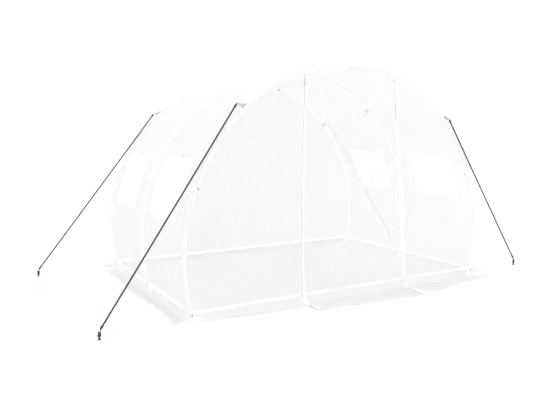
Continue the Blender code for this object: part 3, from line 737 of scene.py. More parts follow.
def build_bolts(size, finish):
    """Dark bolt heads: under the three purlins at each hoop, and through the flattened ends of the braces."""
    heads = []
    for node in ("ridge_purlin", "left_purlin", "right_purlin"):
        middle = np.array(box_centre(node))
        inward = unit((-middle[0], 0.0, size["centre"] - middle[2]))
        for y in (-size["end"], 0.0, size["end"]):
            place = np.array((middle[0], y, middle[2])) + inward * PURLIN_RADIUS * 0.96
            heads.append(button(place, inward, *BOLT_HEAD))
    for side in SIDES.values():
        for bay in BRACE_ANGLES:
            for angle, place in brace_ends(size, bay, BRACE_INWARD - BRACE_BOLT_INSET, side):
                inward = (-side * np.cos(angle), 0.0, -np.sin(angle))
                heads.append(button(place, inward, *BRACE_BOLT_HEAD))
    dress(gather("frame_bolts", heads), "greenhouse", finish["bolt"])


def build_brace_ties(size, finish):
    """Dark ties wound round the right-hand braces close to their lower ends, with their tails hanging."""
    for bay in BRACE_ANGLES:
        (_, upper), (_, lower) = brace_ends(size, bay, BRACE_INWARD)
        axis = unit(upper - lower)
        winding = helix(lower + axis * BRACE_TIE_RISE, axis, (0.0, 0.0, 1.0),
                        PURLIN_RADIUS + BRACE_TIE_CLEARANCE, BRACE_TIE_TURNS, BRACE_TIE_PITCH)
        tail = smooth_path(winding[-1] + np.array(BRACE_TIE_TAIL), 30)
        line = np.concatenate([winding[:-1], tail])
        hanging_cord(f"{bay}_brace_tie", line, BRACE_TIE_RADIUS, axis, "greenhouse", finish["toggle"])


# Film


def waves(u, v, seed, length, count=9):
    """An uneven surface from about -1 to 1: several sine waves sin(2 pi (u cos t + v sin t) / l + p)."""
    draw = np.random.default_rng(seed)
    total = np.zeros(np.broadcast(u, v).shape)
    for _ in range(count):
        turn, phase = draw.uniform(0, 2 * pi, 2)
        size = length * 2 ** draw.uniform(-0.7, 0.7)
        total += np.sin(2 * pi * (u * np.cos(turn) + v * np.sin(turn)) / size + phase)
    return total / np.sqrt(count)


def creases(u, v, seed, length, sharpness=0.16):
    """Narrow ridges from 0 to 1 that wander where the waves w pass zero: exp(-(w / sharpness)^2)."""
    return np.exp(-(waves(u, v, seed, length) / sharpness) ** 2)


def ease(distance, width):
    """A smooth rise from 0 to 1 over the width: 3 s^2 - 2 s^3."""
    share = np.clip(distance / width, 0, 1)
    return share * share * (3 - 2 * share)


def spaced(breaks, step):
    """Even steps of about the given size between each two breaks, with every break kept."""
    runs = [np.linspace(low, high, max(ceil((high - low) / step), 1), endpoint=False)
            for low, high in zip(breaks[:-1], breaks[1:])]
    return np.concatenate(runs + [[breaks[-1]]])


def film_sheet(name, points, uv, edge, facing, keep=None, thickness=FILM):
    """A thin sheet over a grid of points, thickened on the side that it faces at the grid's middle.

    The map is in metres along the cloth, and edge is each point's distance from the nearest sewn edge.
    """
    rows, columns = points.shape[:2]
    faces = grid_faces(rows, columns, keep=keep)
    row, column = rows // 2, columns // 2
    down = points[row, column] - points[row - 1, column]
    along = points[row, column] - points[row, column - 1]
    if np.dot(np.cross(along, down), facing) < 0:
        faces = faces[:, ::-1]
    used, packed = np.unique(faces, return_inverse=True)
    piece = link_mesh(name, points.reshape(-1, 3)[used], packed.reshape(faces.shape).tolist(),
                      uv.reshape(-1, 2)[used])
    layer = piece.data.attributes.new("edge", "FLOAT", "POINT")
    edges = np.broadcast_to(edge, (rows, columns)).reshape(-1)[used]
    layer.data.foreach_set("value", edges.astype(np.float32))
    rework(piece, weld)
    thicken = piece.modifiers.new("film", "SOLIDIFY")
    thicken.thickness = thickness
    thicken.offset = 1.0
    thicken.use_even_offset = True
    return piece


def weld(work):
    """Joins points that fall together, as at the pointed top of a panel."""
    bmesh.ops.remove_doubles(work, verts=work.verts, dist=2e-5)
    bmesh.ops.dissolve_degenerate(work, edges=work.edges, dist=1e-5)


def roof_sheet(size, name, angles, ys, lift, edge=None, keep=None, thickness=FILM):
    """A sheet round the hoops' arc: (r cos a, y, centre + r sin a), r being the hoops' radius and the lift."""
    angle, y = np.meshgrid(angles, ys, indexing="ij")
    x, z = hoop_line(size, angle, lift(angle, y))
    middle = angles[len(angles) // 2]
    points = np.stack([x, y, z], axis=-1)
    uv = np.stack([angle * size["radius"], y], axis=-1)
    return film_sheet(name, points, uv, edge(angle, y) if edge else 1.0, (np.cos(middle), 0, np.sin(middle)),
                      keep, thickness)


def cover_lift(size, angle, y):
    """How far the cover lies from the middle line of the hoops' tubes.

    It rests on the three hoops and hangs a little between them: a sag of 4 t (1 - t) from hoop to hoop,
    deeper at the crown, short gathers close to each hoop, wide waves and a few creases.
    """
    reach = size["end"]
    from_hoop = np.minimum(np.abs(y), np.abs(reach - np.abs(y)))
    free = ease(from_hoop - HOOP_HOLD, 0.09)
    share = np.clip((np.abs(y) - HOOP_HOLD) / (reach - 2 * HOOP_HOLD), 0, 1)
    along = angle * size["radius"]
    sag = (0.0025 + 0.0060 * np.clip(np.sin(angle), 0, 1)) * 4 * share * (1 - share)
    gathers = 0.0020 * waves(along, 0.25 * y, 3, 0.17) * np.exp(-((from_hoop - 0.07) / 0.09) ** 2)
    broad = 0.0026 * waves(along, y, 4, 0.75)
    fine = 0.0012 * creases(along, 1.4 * y, 5, 0.65)
    return TUBE_RADIUS + GAP - sag + free * (gathers + broad + fine)


def window_places(size):
    """The low and high angles of the right-hand windows, and the middles of the two bays."""
    low = angle_at_height(size, WINDOW_BOTTOM, TUBE_RADIUS)
    high = angle_at_height(size, WINDOW_TOP, TUBE_RADIUS)
    return low, high, (-size["end"] / 2, size["end"] / 2)


def hole_distance(size, angle, y, low, high, near, far):
    """The distance of a point from a square opening, in metres, and less than nothing inside it."""
    up = np.maximum(low - angle, angle - high) * size["radius"]
    return np.maximum(up, np.maximum(near - y, y - far))


def build_cover(size, finish):
    """The tunnel's cover in one sheet, with its four window openings."""
    low, high, bays = window_places(size)
    start = angle_at_height(size, SHEET_BOTTOM, TUBE_RADIUS)
    half, end = WINDOW_WIDTH / 2, size["end"] + TUBE_RADIUS
    holes = [(first, last, bay - half, bay + half)
             for first, last in ((low, high), (pi - high, pi - low)) for bay in bays]
    angles = spaced([start, low, high, pi - high, pi - low, pi - start], ARC_CELL)
    ys = spaced(sorted([-end, end] + [bay + turn * half for bay in bays for turn in (-1, 1)]), LENGTH_CELL)
    cell_angle = (angles[:-1, None] + angles[1:, None]) / 2
    cell_y = (ys[None, :-1] + ys[None, 1:]) / 2
    keep = np.ones((len(angles) - 1, len(ys) - 1), bool)
    for hole in holes:
        keep &= hole_distance(size, cell_angle, cell_y, *hole) > 0

    def edge(angle, y):
        """The distance from the nearest hem: a window's, the lower edges' or the ends'."""
        away = np.minimum(end - np.abs(y), np.minimum(angle - start, pi - start - angle) * size["radius"])
        for hole in holes:
            away = np.minimum(away, np.abs(hole_distance(size, angle, y, *hole)))
        return away

    cover = roof_sheet(size, "tunnel_cover", angles, ys, lambda a, y: cover_lift(size, a, y), edge, keep)
    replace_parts(cover, "cover_left_wall", "cover_roof", "cover_right_wall")
    dress(cover, "greenhouse", finish["cover"], sharp=False)


def build_bands(size, finish):
    """The strip sewn over the middle hoop, and the hem at each end of the cover."""
    start = angle_at_height(size, SHEET_BOTTOM, TUBE_RADIUS)
    angles = spaced([start, pi - start], ARC_CELL)
    over = FILM + 0.0002
    band = roof_sheet(size, "middle_band", angles, np.linspace(-BAND_HALF, BAND_HALF, 9),
                      lambda a, y: cover_lift(size, a, y) + over, lambda a, y: BAND_HALF - np.abs(y))
    dress(band, "greenhouse", finish["band"], sharp=False)
    for label, side in ENDS.items():
        build_hem(size, label, side, angles, over, finish)


def build_hem(size, label, side, angles, over, finish):
    """A hem round an end of the cover: a strip on the roof that bends over on to the end wall."""
    end = size["end"] + TUBE_RADIUS
    turns = np.linspace(0, pi / 2, 4)
    face = np.linspace(0, 1, 6)[1:]
    ys = np.concatenate([np.linspace(HEM_START, end, 5), end + HEM_BEND * np.sin(turns),
                         np.full(5, end + HEM_BEND)])
    drop = np.concatenate([np.zeros(5), HEM_BEND * (1 - np.cos(turns)),
                           HEM_BEND + face * (HEM_FACE - HEM_BEND)])
    angle, y = np.meshgrid(angles, ys, indexing="ij")
    lift = cover_lift(size, angle, side * np.minimum(y, end)) + over - drop[None]
    x, z = hoop_line(size, angle, lift)
    points = np.stack([x, side * y, z], axis=-1)
    along = np.concatenate([[0], np.cumsum(np.hypot(np.diff(ys), np.diff(drop)))])
    uv = np.stack([angle * size["radius"], np.broadcast_to(along, angle.shape)], axis=-1)
    middle = len(angles) // 2
    facing = points[middle, len(ys) // 2] - points[middle, 0] + (0, 0, 0.001)
    hem = film_sheet(f"{label}_hem", points, uv, np.minimum(along, along[-1] - along), facing)
    dress(hem, "greenhouse", finish["band"], sharp=False)


def build_windows(size, finish):
    """The net behind each opening and the flap that hangs over it from its top edge."""
    bays = window_places(size)[2]
    for label, side in SIDES.items():
        for bay_label, bay in zip(("front", "back"), bays):
            build_net(size, f"{label}_{bay_label}", side, bay, finish)
            build_window_flap(size, f"{label}_{bay_label}", side, bay, finish)


def on_side(side, angles):
    """Angles of the right-hand side, or the same places of the left-hand side, in rising order."""
    return np.sort(pi - angles if side < 0 else angles)


def build_net(size, name, side, bay, finish):
    """A net stretched behind a window's opening."""
    low, high, _ = window_places(size)
    half = WINDOW_WIDTH / 2
    lap = WINDOW_LAP / size["radius"]
    net = roof_sheet(size, f"{name}_net", on_side(side, spaced([low - lap, high + lap], 0.012)),
                     np.linspace(bay - half - WINDOW_LAP, bay + half + WINDOW_LAP, 44),
                     lambda a, y: cover_lift(size, a, y) - NET_DROP, thickness=NET)
    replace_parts(net, f"{name}_window_net")
    dress(net, "greenhouse", finish["net"], sharp=False)


def build_window_flap(size, name, side, bay, finish):
    """A flap of doubled film that hangs over a window from its top edge, with a soft bulge and folds."""
    low, high, _ = window_places(size)
    arc = size["radius"]
    flap_low, flap_high = low - FLAP_LAP / arc, high + WINDOW_LAP / arc
    half = WINDOW_WIDTH / 2 + FLAP_LAP

    def as_right(angle):
        """The angle as on the right-hand side."""
        return np.where(angle > pi / 2, pi - angle, angle)

    def lift(angle, y):
        """The cover under the flap, and what holds the flap off it."""
        height = (flap_high - as_right(angle)) * arc
        across = (y - bay) / half
        bulge = 0.0035 * (1 - across ** 2) * ease(height, 0.12)
        folds = 0.0016 * (1 + waves(3.0 * (y - bay), 0.5 * height, 31 + 7 * side + round(bay * 4), 0.35))
        rise = 0.0015 * (1 + waves(y, height, 51 + side, 0.16)) * ease(height - 0.40, 0.06)
        return cover_lift(size, angle, y) + 2 * FILM + 0.0006 + bulge + folds * ease(height, 0.05) + rise

    def edge(angle, y):
        """The distance from the flap's outline."""
        up = as_right(angle)
        return np.minimum(np.minimum(up - flap_low, flap_high - up) * arc, half - np.abs(y - bay))

    flap = roof_sheet(size, f"{name}_flap", on_side(side, spaced([flap_low, flap_high], 0.0065)),
                      np.linspace(bay - half, bay + half, 66), lift, edge, thickness=2 * FILM)
    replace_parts(flap, f"{name}_window_flap")
    dress(flap, f"{name}_window_flap", finish["flap"], sharp=False)


def zip_x(label, height):
    """X of a zip's line at a height: from its foot to the door's top, with a slack bow of 4 b t (1 - t)."""
    low, high = ZIPS[label]
    share = (height - ZIP_FOOT) / (DOOR_TOP - ZIP_FOOT)
    held = np.clip(share, 0, 1)
    return low + (high - low) * share + 4 * ZIP_BOWS[label] * held * (1 - held)


def wall_lift(size, x, z):
    """How far an end film stands off its plane: flat on the hoop and the base bar, and softly full between.

    Two sets of waves, one wide and one of upright folds, are raised so that they never go inside the plane.
    """
    inside = size["radius"] + TUBE_RADIUS - np.hypot(x, z - size["centre"])
    hold = ease(inside - 0.062, 0.16) * ease(np.abs(z - size["bar_height"]) - 0.016, 0.10)
    full = 0.0040 * (1.1 + waves(x, z, 21, 0.9))
    upright = 0.0020 * (1.1 + waves(2.4 * x, 0.45 * z, 22, 0.42))
    fine = 0.0010 * creases(x, z, 23, 0.5)
    return hold * np.maximum(full + upright + fine, 0)


def zip_hold(x, z):
    """0 under the zips' tapes and 1 a hand's width away from them."""
    hold = 1.0
    for label in ZIPS:
        hold = hold * ease(np.abs(x - zip_x(label, z)) - 0.018, 0.11)
    return hold


def along_line(points, shares):
    """Points at the given shares of the length of a line through the given places."""
    points = np.asarray(points, float)
    run = np.concatenate([[0], np.cumsum(np.hypot(*np.diff(points, axis=0).T))])
    return np.stack([np.interp(shares * run[-1], run, points[:, axis]) for axis in (0, 1)], axis=-1)


def ground_flap(foot, outer, start_height, seed):
    """Rows of a flap that leaves its wall upright, turns on to the ground and lies there in low waves.

    foot and outer are X and Y of the inner and the outer edge. Near the wall the height is z0 (1 - sin t)
    while the distance is w (1 - cos t); further out it is the height of the waves and of one long fold. Each
    point's distance from the outer edge comes back too.
    """
    span = np.hypot(*(outer - foot).T)
    bend = np.minimum(0.070, 0.55 * span)
    turns = np.linspace(0, pi / 2, 9)
    near = bend[None] * (1 - np.cos(turns))[:, None]
    shares = np.linspace(0, 1, ceil(span.max() / FLAP_CELL) + 1)[1:]
    far = bend[None] + (span - bend)[None] * shares[:, None]
    distance = np.concatenate([near, far])
    share = distance / span[None]
    x = foot[None, :, 0] * (1 - share) + outer[None, :, 0] * share
    y = foot[None, :, 1] * (1 - share) + outer[None, :, 1] * share
    fall = start_height * (1 - np.sin(np.concatenate([turns, np.full(len(shares), pi / 2)])))[:, None]
    loose = ease(distance - 0.4 * bend[None], 0.10)
    swell = 0.0075 * np.maximum(0.15 + waves(1.6 * x, 2.4 * y, seed, 0.42), 0)
    ripple = 0.0022 * (1 + waves(x, y, seed + 1, 0.11))
    lip = 0.0060 * np.maximum(waves(x, y, seed + 2, 0.30), 0) * ease(distance - 0.75 * span[None], 0.06)
    line = (0.55 + 0.10 * waves(x, y, seed + 3, 0.60)) * span[None]
    fold = 0.0040 * np.exp(-((distance - line) / 0.020) ** 2)
    clear = 0.0006 + 0.0022 * ease(distance, 0.03)
    z = np.maximum(fall, 0) + clear + loose * (swell + ripple + lip + fold)
    return np.stack([x, y, z], axis=-1), span[None] - distance


def end_distance(points):
    """How far each point of a grid is from its nearer end column, by its share of the row's width."""
    shares = np.linspace(0, 1, points.shape[1])
    width = np.linalg.norm(points[:, -1] - points[:, 0], axis=-1)[:, None]
    return np.minimum(shares[None] * width, (1 - shares)[None] * width)


def end_film(size, name, wall, outer, side, seed):
    """An end film and its flap's points: a grid of the wall's X and Z that runs on along the ground.

    The wall is rows from the top down. Y is side * (plane + lift). The flap's outer edge is X and Y places.
    """
    x, z = wall
    plane = size["end"] + TUBE_RADIUS + GAP
    lift = wall_lift(size, x, z) * (zip_hold(x, z) if side < 0 else 1.0)
    points = np.stack([x, side * (plane + lift), z], axis=-1)
    outer_edge = along_line(outer, np.linspace(0, 1, x.shape[1]))
    flap, remaining = ground_flap(points[-1, :, :2], outer_edge, z[-1, 0], seed)
    points = np.concatenate([points, flap[1:]])
    uv = np.stack([points[..., 0], np.concatenate([z, z[-1:] - run_down(flap)])], axis=-1)
    edge = np.concatenate([np.ones_like(x), np.maximum(remaining[1:], 0)])
    rows = x.shape[0]
    edge[rows:] = np.minimum(edge[rows:], end_distance(points)[rows:])
    return film_sheet(name, points, uv, edge, (0, side, 0.01)), flap


def spread(first, last, count):
    """A row of even steps from each first value to its last."""
    return first[:, None] + (last - first)[:, None] * np.linspace(0, 1, count)[None]


def meet_outline(size, x_at):
    """X and the height at which a line carried upwards meets the outline, by steps from a first guess."""
    height = 1.9
    for _ in range(20):
        x = x_at(height)
        height = size["centre"] + np.sqrt(outline_radius(size) ** 2 - x ** 2)
    return x, height


def arched_wall(x, heights, top_x, top):
    """X and Z of level rows, with ten more above them that rise from the highest to the arched top edge."""
    rise = np.linspace(1, 0, 10, endpoint=False)[:, None]
    upper_x = x[0][None] + (top_x - x[0])[None] * rise
    upper_z = heights[0] + (top - heights[0])[None] * rise
    return np.concatenate([upper_x, x]), np.concatenate([upper_z, np.broadcast_to(heights[:, None], x.shape)])


def build_end_walls(size, finish):
    """The two side panels of the front, the door film with the panel above it, and the back wall."""
    build_side_panel(size, "left", LEFT_PANEL_FLAP, 61, finish)
    build_side_panel(size, "right", RIGHT_PANEL_FLAP, 64, finish)
    build_door_film(size, finish)
    build_back_film(size, finish)


def build_side_panel(size, label, outer, seed, finish):
    """The film between the front hoop and a zip, up to where the zip's line meets the outline."""
    side = SIDES[label]
    name = f"front_{label}_film"
    top = meet_outline(size, lambda height: zip_x(label, height))[1]
    heights = spaced([SHEET_BOTTOM, 1.2, top], WALL_CELL)[::-1]
    arc = side * outline_x(size, heights)
    seam = zip_x(label, heights) + side * ZIP_SEAM
    x = spread(arc, seam, 90) if side < 0 else spread(seam, arc, 90)
    wall = (x, np.broadcast_to(heights[:, None], x.shape))
    panel, _ = end_film(size, name, wall, outer, -1, seed)
    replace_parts(panel, f"front_{label}_panel")
    dress(panel, "greenhouse", finish["film"], sharp=False)


def build_door_film(size, finish):
    """The film between the zips: the fixed part above the door, the door and its flap on the ground."""
    columns = 84

    def seams(height):
        """X of the film's left and right edge at a height."""
        return zip_x("left", height) + ZIP_SEAM, zip_x("right", height) - ZIP_SEAM

    def row_at(height):
        """X of the film's columns, each at its own height."""
        left, right = seams(height)
        return left + (right - left) * np.linspace(0, 1, columns)

    heights = np.union1d(spaced([SHEET_BOTTOM, *DOOR_FOLD], WALL_CELL), np.linspace(*DOOR_FOLD, 17))[::-1]
    wall = arched_wall(spread(*seams(heights), columns), heights, *meet_outline(size, row_at))
    door, flap = end_film(size, "door_film", wall, DOOR_FLAP, -1, 67)
    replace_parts(door, "door_panel", "front_top_panel")
    dress(door, None, finish["film"], sharp=False)
    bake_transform(door)
    edge_tape("door_flap_left_tape", flap[:, :4], finish)
    edge_tape("door_flap_right_tape", flap[:, -3:], finish)


def build_back_film(size, finish):
    """The back wall in one film."""
    heights = spaced([SHEET_BOTTOM, DOOR_FOLD[1]], 0.016)[::-1]
    reach = outline_x(size, heights)
    x = spread(-reach, reach, 150)
    top = size["centre"] + np.sqrt(outline_radius(size) ** 2 - x[0] ** 2)
    back, _ = end_film(size, "back_film", arched_wall(x, heights, x[0], top), BACK_FLAP, 1, 70)
    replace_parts(back, "back_wall")
    dress(back, "greenhouse", finish["film"], sharp=False)


def edge_tape(name, points, finish):
    """The zip's white tape where it runs on down the edge of the door's flap, just clear of the film."""
    tape = film_sheet(name, points + np.array([0, -0.0013, 0.0013]), points[..., :2], 1.0, (0, -0.3, 1))
    dress(tape, "door", finish["zip"], sharp=False)


def build_side_flaps(size, finish):
    """The flaps that lie along the ground at the two sides, sewn to the lower edges of the cover."""
    for label, side in SIDES.items():
        name = f"{label}_ground_flap"
        outer_line, inner = SIDE_FLAPS[label]
        ys = spaced(inner, FLAP_CELL)
        height = SHEET_BOTTOM - 0.0008
        start = np.full(len(ys), angle_at_height(size, height, TUBE_RADIUS))
        x, _ = hoop_line(size, start, cover_lift(size, start, ys))
        foot = np.stack([side * x, ys], axis=-1)
        outer = along_line(outer_line, np.linspace(0, 1, len(ys)))
        points, remaining = ground_flap(foot, outer, height, 73 + side)
        down = np.concatenate([np.zeros((1, len(ys))), run_down(points)])
        uv = np.stack([np.broadcast_to(ys[None], down.shape), down], axis=-1)
        flap = film_sheet(name, points, uv, np.minimum(remaining, end_distance(points)), (side * 0.1, 0, 1))
        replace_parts(flap, f"{label}_skirt")
        dress(flap, "greenhouse", finish["skirt"], sharp=False)


# Zips


def strip(line, width, depth):
    """A thin strip along a line of places: a rectangle with softened corners carried from one to the next."""
    line = np.asarray(line, float)
    w, d = width / 2, depth / 2
    soft = min(depth, width) * 0.25
    section = np.array([(-w + soft, -d), (w - soft, -d), (w, -d + soft), (w, d - soft),
                        (w - soft, d), (-w + soft, d), (-w, d - soft), (-w, -d + soft)])
    inward = np.array([0.0, 1.0, 0.0])
    across = unit(np.cross(inward, unit(line[-1] - line[0])))
    return skin(line[:, None] + section[None, :, :1] * across + section[None, :, 1:] * inward)


def teeth(label, side, heights, depth):
    """Teeth in a row up a zip: each is a block that reaches past the seam, between two of the other side."""
    x = zip_x(label, heights)
    front, back = np.full_like(x, -depth - TOOTH_DEPTH), np.full_like(x, -depth)
    low = np.stack([x - side * TOOTH_REACH, front, heights - TOOTH_HALF], axis=1)
    high = np.stack([x + side * TOOTH_ROOT, back, heights + TOOTH_HALF], axis=1)
    corners = np.array([(0, 0, 0), (1, 0, 0), (1, 1, 0), (0, 1, 0),
                        (0, 0, 1), (1, 0, 1), (1, 1, 1), (0, 1, 1)])
    points = low[:, None] + corners[None] * (high - low)[:, None]
    quads = np.array([(0, 1, 2, 3), (4, 7, 6, 5), (0, 4, 5, 1), (1, 5, 6, 2), (2, 6, 7, 3), (3, 7, 4, 0)])
    faces = (np.arange(len(heights)) * 8)[:, None, None] + quads[None]
    return points.reshape(-1, 3), faces.reshape(-1, 4).tolist()


def build_zips(size, finish):
    """Each zip: a white tape with its row of teeth on the fixed panel, and its twin on the door."""
    face = size["end"] + TUBE_RADIUS + GAP + FILM
    low, high = SHEET_BOTTOM + 0.004, DOOR_TOP - 0.001
    heights = np.linspace(low, high, 60)
    count = int((high - low) / TOOTH_PITCH)
    for label, fixed in SIDES.items():
        # Painted shade on the left zip's teeth and painted light on the right zip's teeth.
        chain = finish["chain"] if label == "left" else finish["lit_chain"]
        for half, side, body, shift in (("fixed", fixed, "greenhouse", 0.25), ("door", -fixed, "door", 0.75)):
            width = ZIP_TAPE[half]
            x = zip_x(label, heights) + side * (ZIP_TAPE_GAP + width / 2)
            line = np.stack([x, np.full_like(x, -face - 0.0007), heights], axis=1)
            tape = gather(f"{label}_zip_{half}_tape", [strip(line, width, ZIP_TAPE_DEPTH)])
            dress(tape, body, finish["zip"])
            places = low + 0.004 + (np.arange(count - 2) + shift) * TOOTH_PITCH
            row = gather(f"{label}_zip_{half}_teeth", [teeth(label, side, places, face + 0.0009)])
            row.data.materials.append(chain)
            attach(row, body)
            if half == "fixed":
                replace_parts(tape, f"{label}_zip")


# Ropes and pegs


def rope_route(corner, side):
    """A rope's middle line from its clip to its peg: nearly straight, with a few millimetres of sag."""
    top = np.array(ROPE_TOPS[corner])
    x, y = PEG_PLACES[corner]
    foot = np.array([x - side * ROPE_END_REACH, y, ROPE_END_HEIGHT])
    steps = ceil(np.linalg.norm(foot - top) / ROPE_STEP)
    share = np.linspace(0, 1, steps + 1)[:, None]
    return top * (1 - share) + foot * share - np.array([0, 0, 4 * ROPE_SAG]) * share * (1 - share)


def rope_rings(route):
    """A braided rope: radius R (0.88 + 0.12 sqrt|sin(2u + kv) sin(2u - kv)|), u round it and v along it."""
    run = np.concatenate([[0], np.cumsum(np.linalg.norm(np.diff(route, axis=0), axis=1))])
    along = np.linspace(0, run[-1], int(run[-1] / BRAID_STEP))
    points = np.stack([np.interp(along, run, route[:, axis]) for axis in range(3)], axis=1)
    rings = tube_rings(points, 1.0, (0.0, 1.0, 0.0), BRAID_SIDES)
    turn = np.linspace(0, 2 * pi, BRAID_SIDES, endpoint=False)[None]
    twist = (2 * pi / BRAID_LAY) * along[:, None]
    braid = np.abs(np.sin(2 * turn + twist) * np.sin(2 * turn - twist))
    radius = ROPE_RADIUS * (0.88 + 0.12 * np.sqrt(braid))
    radius[[0, -1]] *= 0.72
    return points[:, None] + (rings - points[:, None]) * radius[..., None]


def whipping(centre, axis):
    """Thin cord wound round a rope near its end, with rounded ends."""
    winding = helix(centre, axis, (0, 1, 0), ROPE_RADIUS + WHIPPING_CLEARANCE, WHIPPING_TURNS, WHIPPING_PITCH)
    points, radii = round_ended(winding, WHIPPING_RADIUS)
    spokes = points - centre
    spokes = spokes - (spokes @ unit(axis))[:, None] * unit(axis)
    return skin(tube_rings(points, radii, spokes, 10))


def peg_loop(rope_end, down, x, y, side):
    """The cord that leaves the rope's end, goes down to the peg and winds round its stem."""
    reach = PEG_RADIUS + LOOP_CLEARANCE
    winding = helix(np.array([x, y, LOOP_HEIGHT]), (0, 0, -1), (-side, 0, 0), reach, LOOP_TURNS, LOOP_PITCH)
    lead = smooth_path([rope_end - down * 0.004, (x - side * 0.0095, y, 0.060), (x - side * reach, y, 0.047),
                        winding[0]], 16)[:-1]
    points, radii = round_ended(np.concatenate([lead, winding]), LOOP_RADIUS)
    spokes = winding - (x, y, 0.0)
    hint = np.concatenate([np.repeat([[side, 0.0, 0.0]], CAP_STEPS + len(lead), axis=0), spokes,
                           np.repeat(spokes[-1:], CAP_STEPS, axis=0)])
    return skin(tube_rings(points, radii, hint, 10))


def build_ropes(finish):
    """The four ropes with a whipping at each end, the loop that ties each to its peg, and the pegs."""
    for corner in ROPE_TOPS:
        side = SIDES[corner.split("_")[1]]
        route = rope_route(corner, side)
        rope = gather(f"{corner}_rope", [skin(rope_rings(route))])
        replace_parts(rope, f"{corner}_guy_rope")
        dress(rope, "greenhouse", finish["rope"], sharp=False)
        down = unit(route[1] - route[0])
        knots = gather(f"{corner}_rope_knots", [
            whipping(route[0] + down * WHIPPING_PLACES[0], down),
            whipping(route[-1] - down * WHIPPING_PLACES[1], down),
            peg_loop(route[-1], down, *PEG_PLACES[corner], side)])
        dress(knots, "greenhouse", finish["rope"], sharp=False)
        peg = build_peg(corner, side, finish)


def build_peg(corner, side, finish):
    """A ground peg: a flange, a ribbed stem and a rounded head that bends away from the tunnel."""
    x, y = PEG_PLACES[corner]
    heights, radii = np.array(PEG_PROFILE).T
    stem = np.stack([np.full_like(heights, x), np.full_like(heights, y), heights], axis=1)
    turns = np.linspace(0, PEG_BEND, 10)[1:]
    bend = np.stack([x + side * PEG_BEND_RADIUS * (1 - np.cos(turns)), np.full_like(turns, y),
                     PEG_STEM + PEG_BEND_RADIUS * np.sin(turns)], axis=1)
    out = np.array([side * np.sin(PEG_BEND), 0.0, np.cos(PEG_BEND)])
    swell = np.linspace(0, pi / 2 - 0.1, 5)[1:]
    head = bend[-1] + out * PEG_HEAD * np.sin(swell)[:, None]
    points = np.concatenate([stem, bend, head])
    sizes = np.concatenate([radii, np.full(len(turns), PEG_RADIUS), PEG_RADIUS * np.cos(swell)])
    peg = gather(f"{corner}_ground_peg", [skin(tube_rings(points, sizes, (0.0, 1.0, 0.0), 28))])
    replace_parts(peg, f"{corner}_peg")
    return dress(peg, "greenhouse", finish["peg"])


# Small parts


def build_small_parts(size, finish):
    """Toggles over the windows and the door, snap heads, and the strap and cord that tie the rolled door."""
    face = -(size["end"] + TUBE_RADIUS + GAP + 2 * FILM + 0.0014)
    toggles = [button((x, face, z), (0, -1, 0), *DOOR_TOGGLE_HEAD) for x, z in DOOR_TOGGLE_PLACES]
    _, high, bays = window_places(size)
    angle = high + WINDOW_TOGGLE_RISE / size["radius"]
    for side in SIDES.values():
        for bay, shift in zip(bays, WINDOW_TOGGLE_SHIFTS):
            x, z = hoop_line(size, angle, cover_lift(size, angle, bay + shift) + 0.0005, side)
            out = (side * np.cos(angle), 0, np.sin(angle))
            toggles.append(button((x, bay + shift, z), out, *WINDOW_TOGGLE_HEAD))
    dress(gather("door_and_window_toggles", toggles), "greenhouse", finish["toggle"])

    snaps = [button((x, end * -(face + 0.0008), z), (0, end, 0), *SNAP_HEAD)
             for end in ENDS.values() for x, z in SNAP_PLACES]
    dress(gather("hoop_snaps", snaps), "greenhouse", finish["bolt"])

    x, heights = np.linspace(STRAP_TOP, STRAP_FOOT, 14).T
    line = np.stack([x, np.full_like(x, face - 0.0016), heights], axis=1)
    strap = gather("door_strap", [strip(line, STRAP_WIDTH, STRAP_DEPTH)])
    dress(strap, "greenhouse", finish["strap"])

    start, top = DOOR_TIE_TOP
    heights = np.linspace(top, DOOR_TIE_FOOT, 40)
    share = (top - heights) / (top - DOOR_TIE_FOOT)
    line = np.stack([start + DOOR_TIE_SWING * share ** 0.7, face - 0.0045 - 0.004 * np.sin(pi * share),
                     heights], axis=1)
    hanging_cord("door_tie_cord", line, DOOR_TIE_RADIUS, (0.0, 1.0, 0.0), "door", finish["tie"])


# The studio


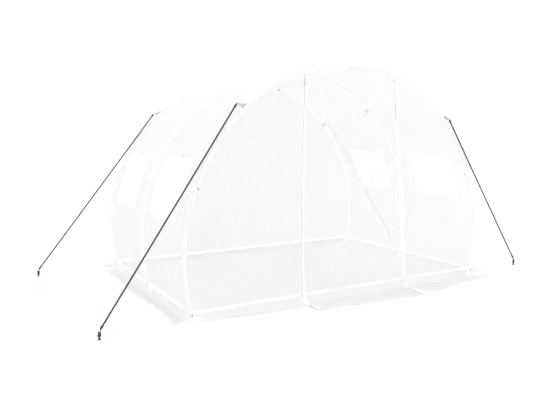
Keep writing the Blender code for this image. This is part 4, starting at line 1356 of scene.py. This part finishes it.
def build_camera():
    """The camera that sees the greenhouse as the photograph does."""
    data = bpy.data.cameras.new("camera")
    data.lens = CAMERA_LENS
    data.sensor_width = CAMERA_SENSOR
    data.clip_end = 200.0
    camera = bpy.data.objects.new("camera", data)
    camera.location = CAMERA_PLACE
    camera.rotation_euler = Euler((pi / 2 - CAMERA_PITCH, 0.0, -CAMERA_YAW), "XYZ")
    bpy.context.collection.objects.link(camera)
    bpy.context.scene.camera = camera


def build_light():
    """An even studio light from all round, in front of a background as white as the floor."""
    world = bpy.data.worlds.new("studio")
    world.use_nodes = True
    tree = world.node_tree
    light = tree.nodes["Background"]
    light.inputs["Color"].default_value = (1.0, 1.0, 1.0, 1.0)
    light.inputs["Strength"].default_value = STUDIO_LIGHT
    plain = link_node(tree, "ShaderNodeBackground", {"Color": (1.0, 1.0, 1.0, 1.0), "Strength": BACKGROUND})
    seen = link_node(tree, "ShaderNodeLightPath").outputs["Is Camera Ray"]
    mix = link_node(tree, "ShaderNodeMixShader", {0: seen, 1: light.outputs[0], 2: plain.outputs[0]})
    tree.links.new(mix.outputs[0], tree.nodes["World Output"].inputs["Surface"])
    bpy.context.scene.world = world


def build_floor():
    """A wide pale floor just under the greenhouse."""
    signs = ((-1, -1), (1, -1), (1, 1), (-1, 1))
    corners = [(x * FLOOR_REACH, y * FLOOR_REACH, -FLOOR_DROP) for x, y in signs]
    floor = link_mesh("floor", corners, [(0, 1, 2, 3)])
    floor.data.materials.append(principled("floor", Roughness=0.9, Base_Color=(0.94, 0.94, 0.94, 1))[0])


def main():
    """Builds every piece, the camera, the light and the floor."""
    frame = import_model()
    size = measure_frame()
    finish = make_materials()
    build_camera()
    slots = {part["node"]: part["material_slot"] for part in frame["record"]["subparts"]}
    for name, node in frame["nodes"].items():
        node.data.materials.clear()
        node.data.materials.append(finish[slots[name]])
    build_frame(size, finish)
    build_cover(size, finish)
    build_bands(size, finish)
    build_windows(size, finish)
    build_end_walls(size, finish)
    build_side_flaps(size, finish)
    build_zips(size, finish)
    build_ropes(finish)
    build_small_parts(size, finish)
    build_brace_ties(size, finish)
    build_light()
    build_floor()
    bpy.context.scene.view_settings.view_transform = "Standard"
    bpy.context.scene.cycles.transparent_max_bounces = 32


main()
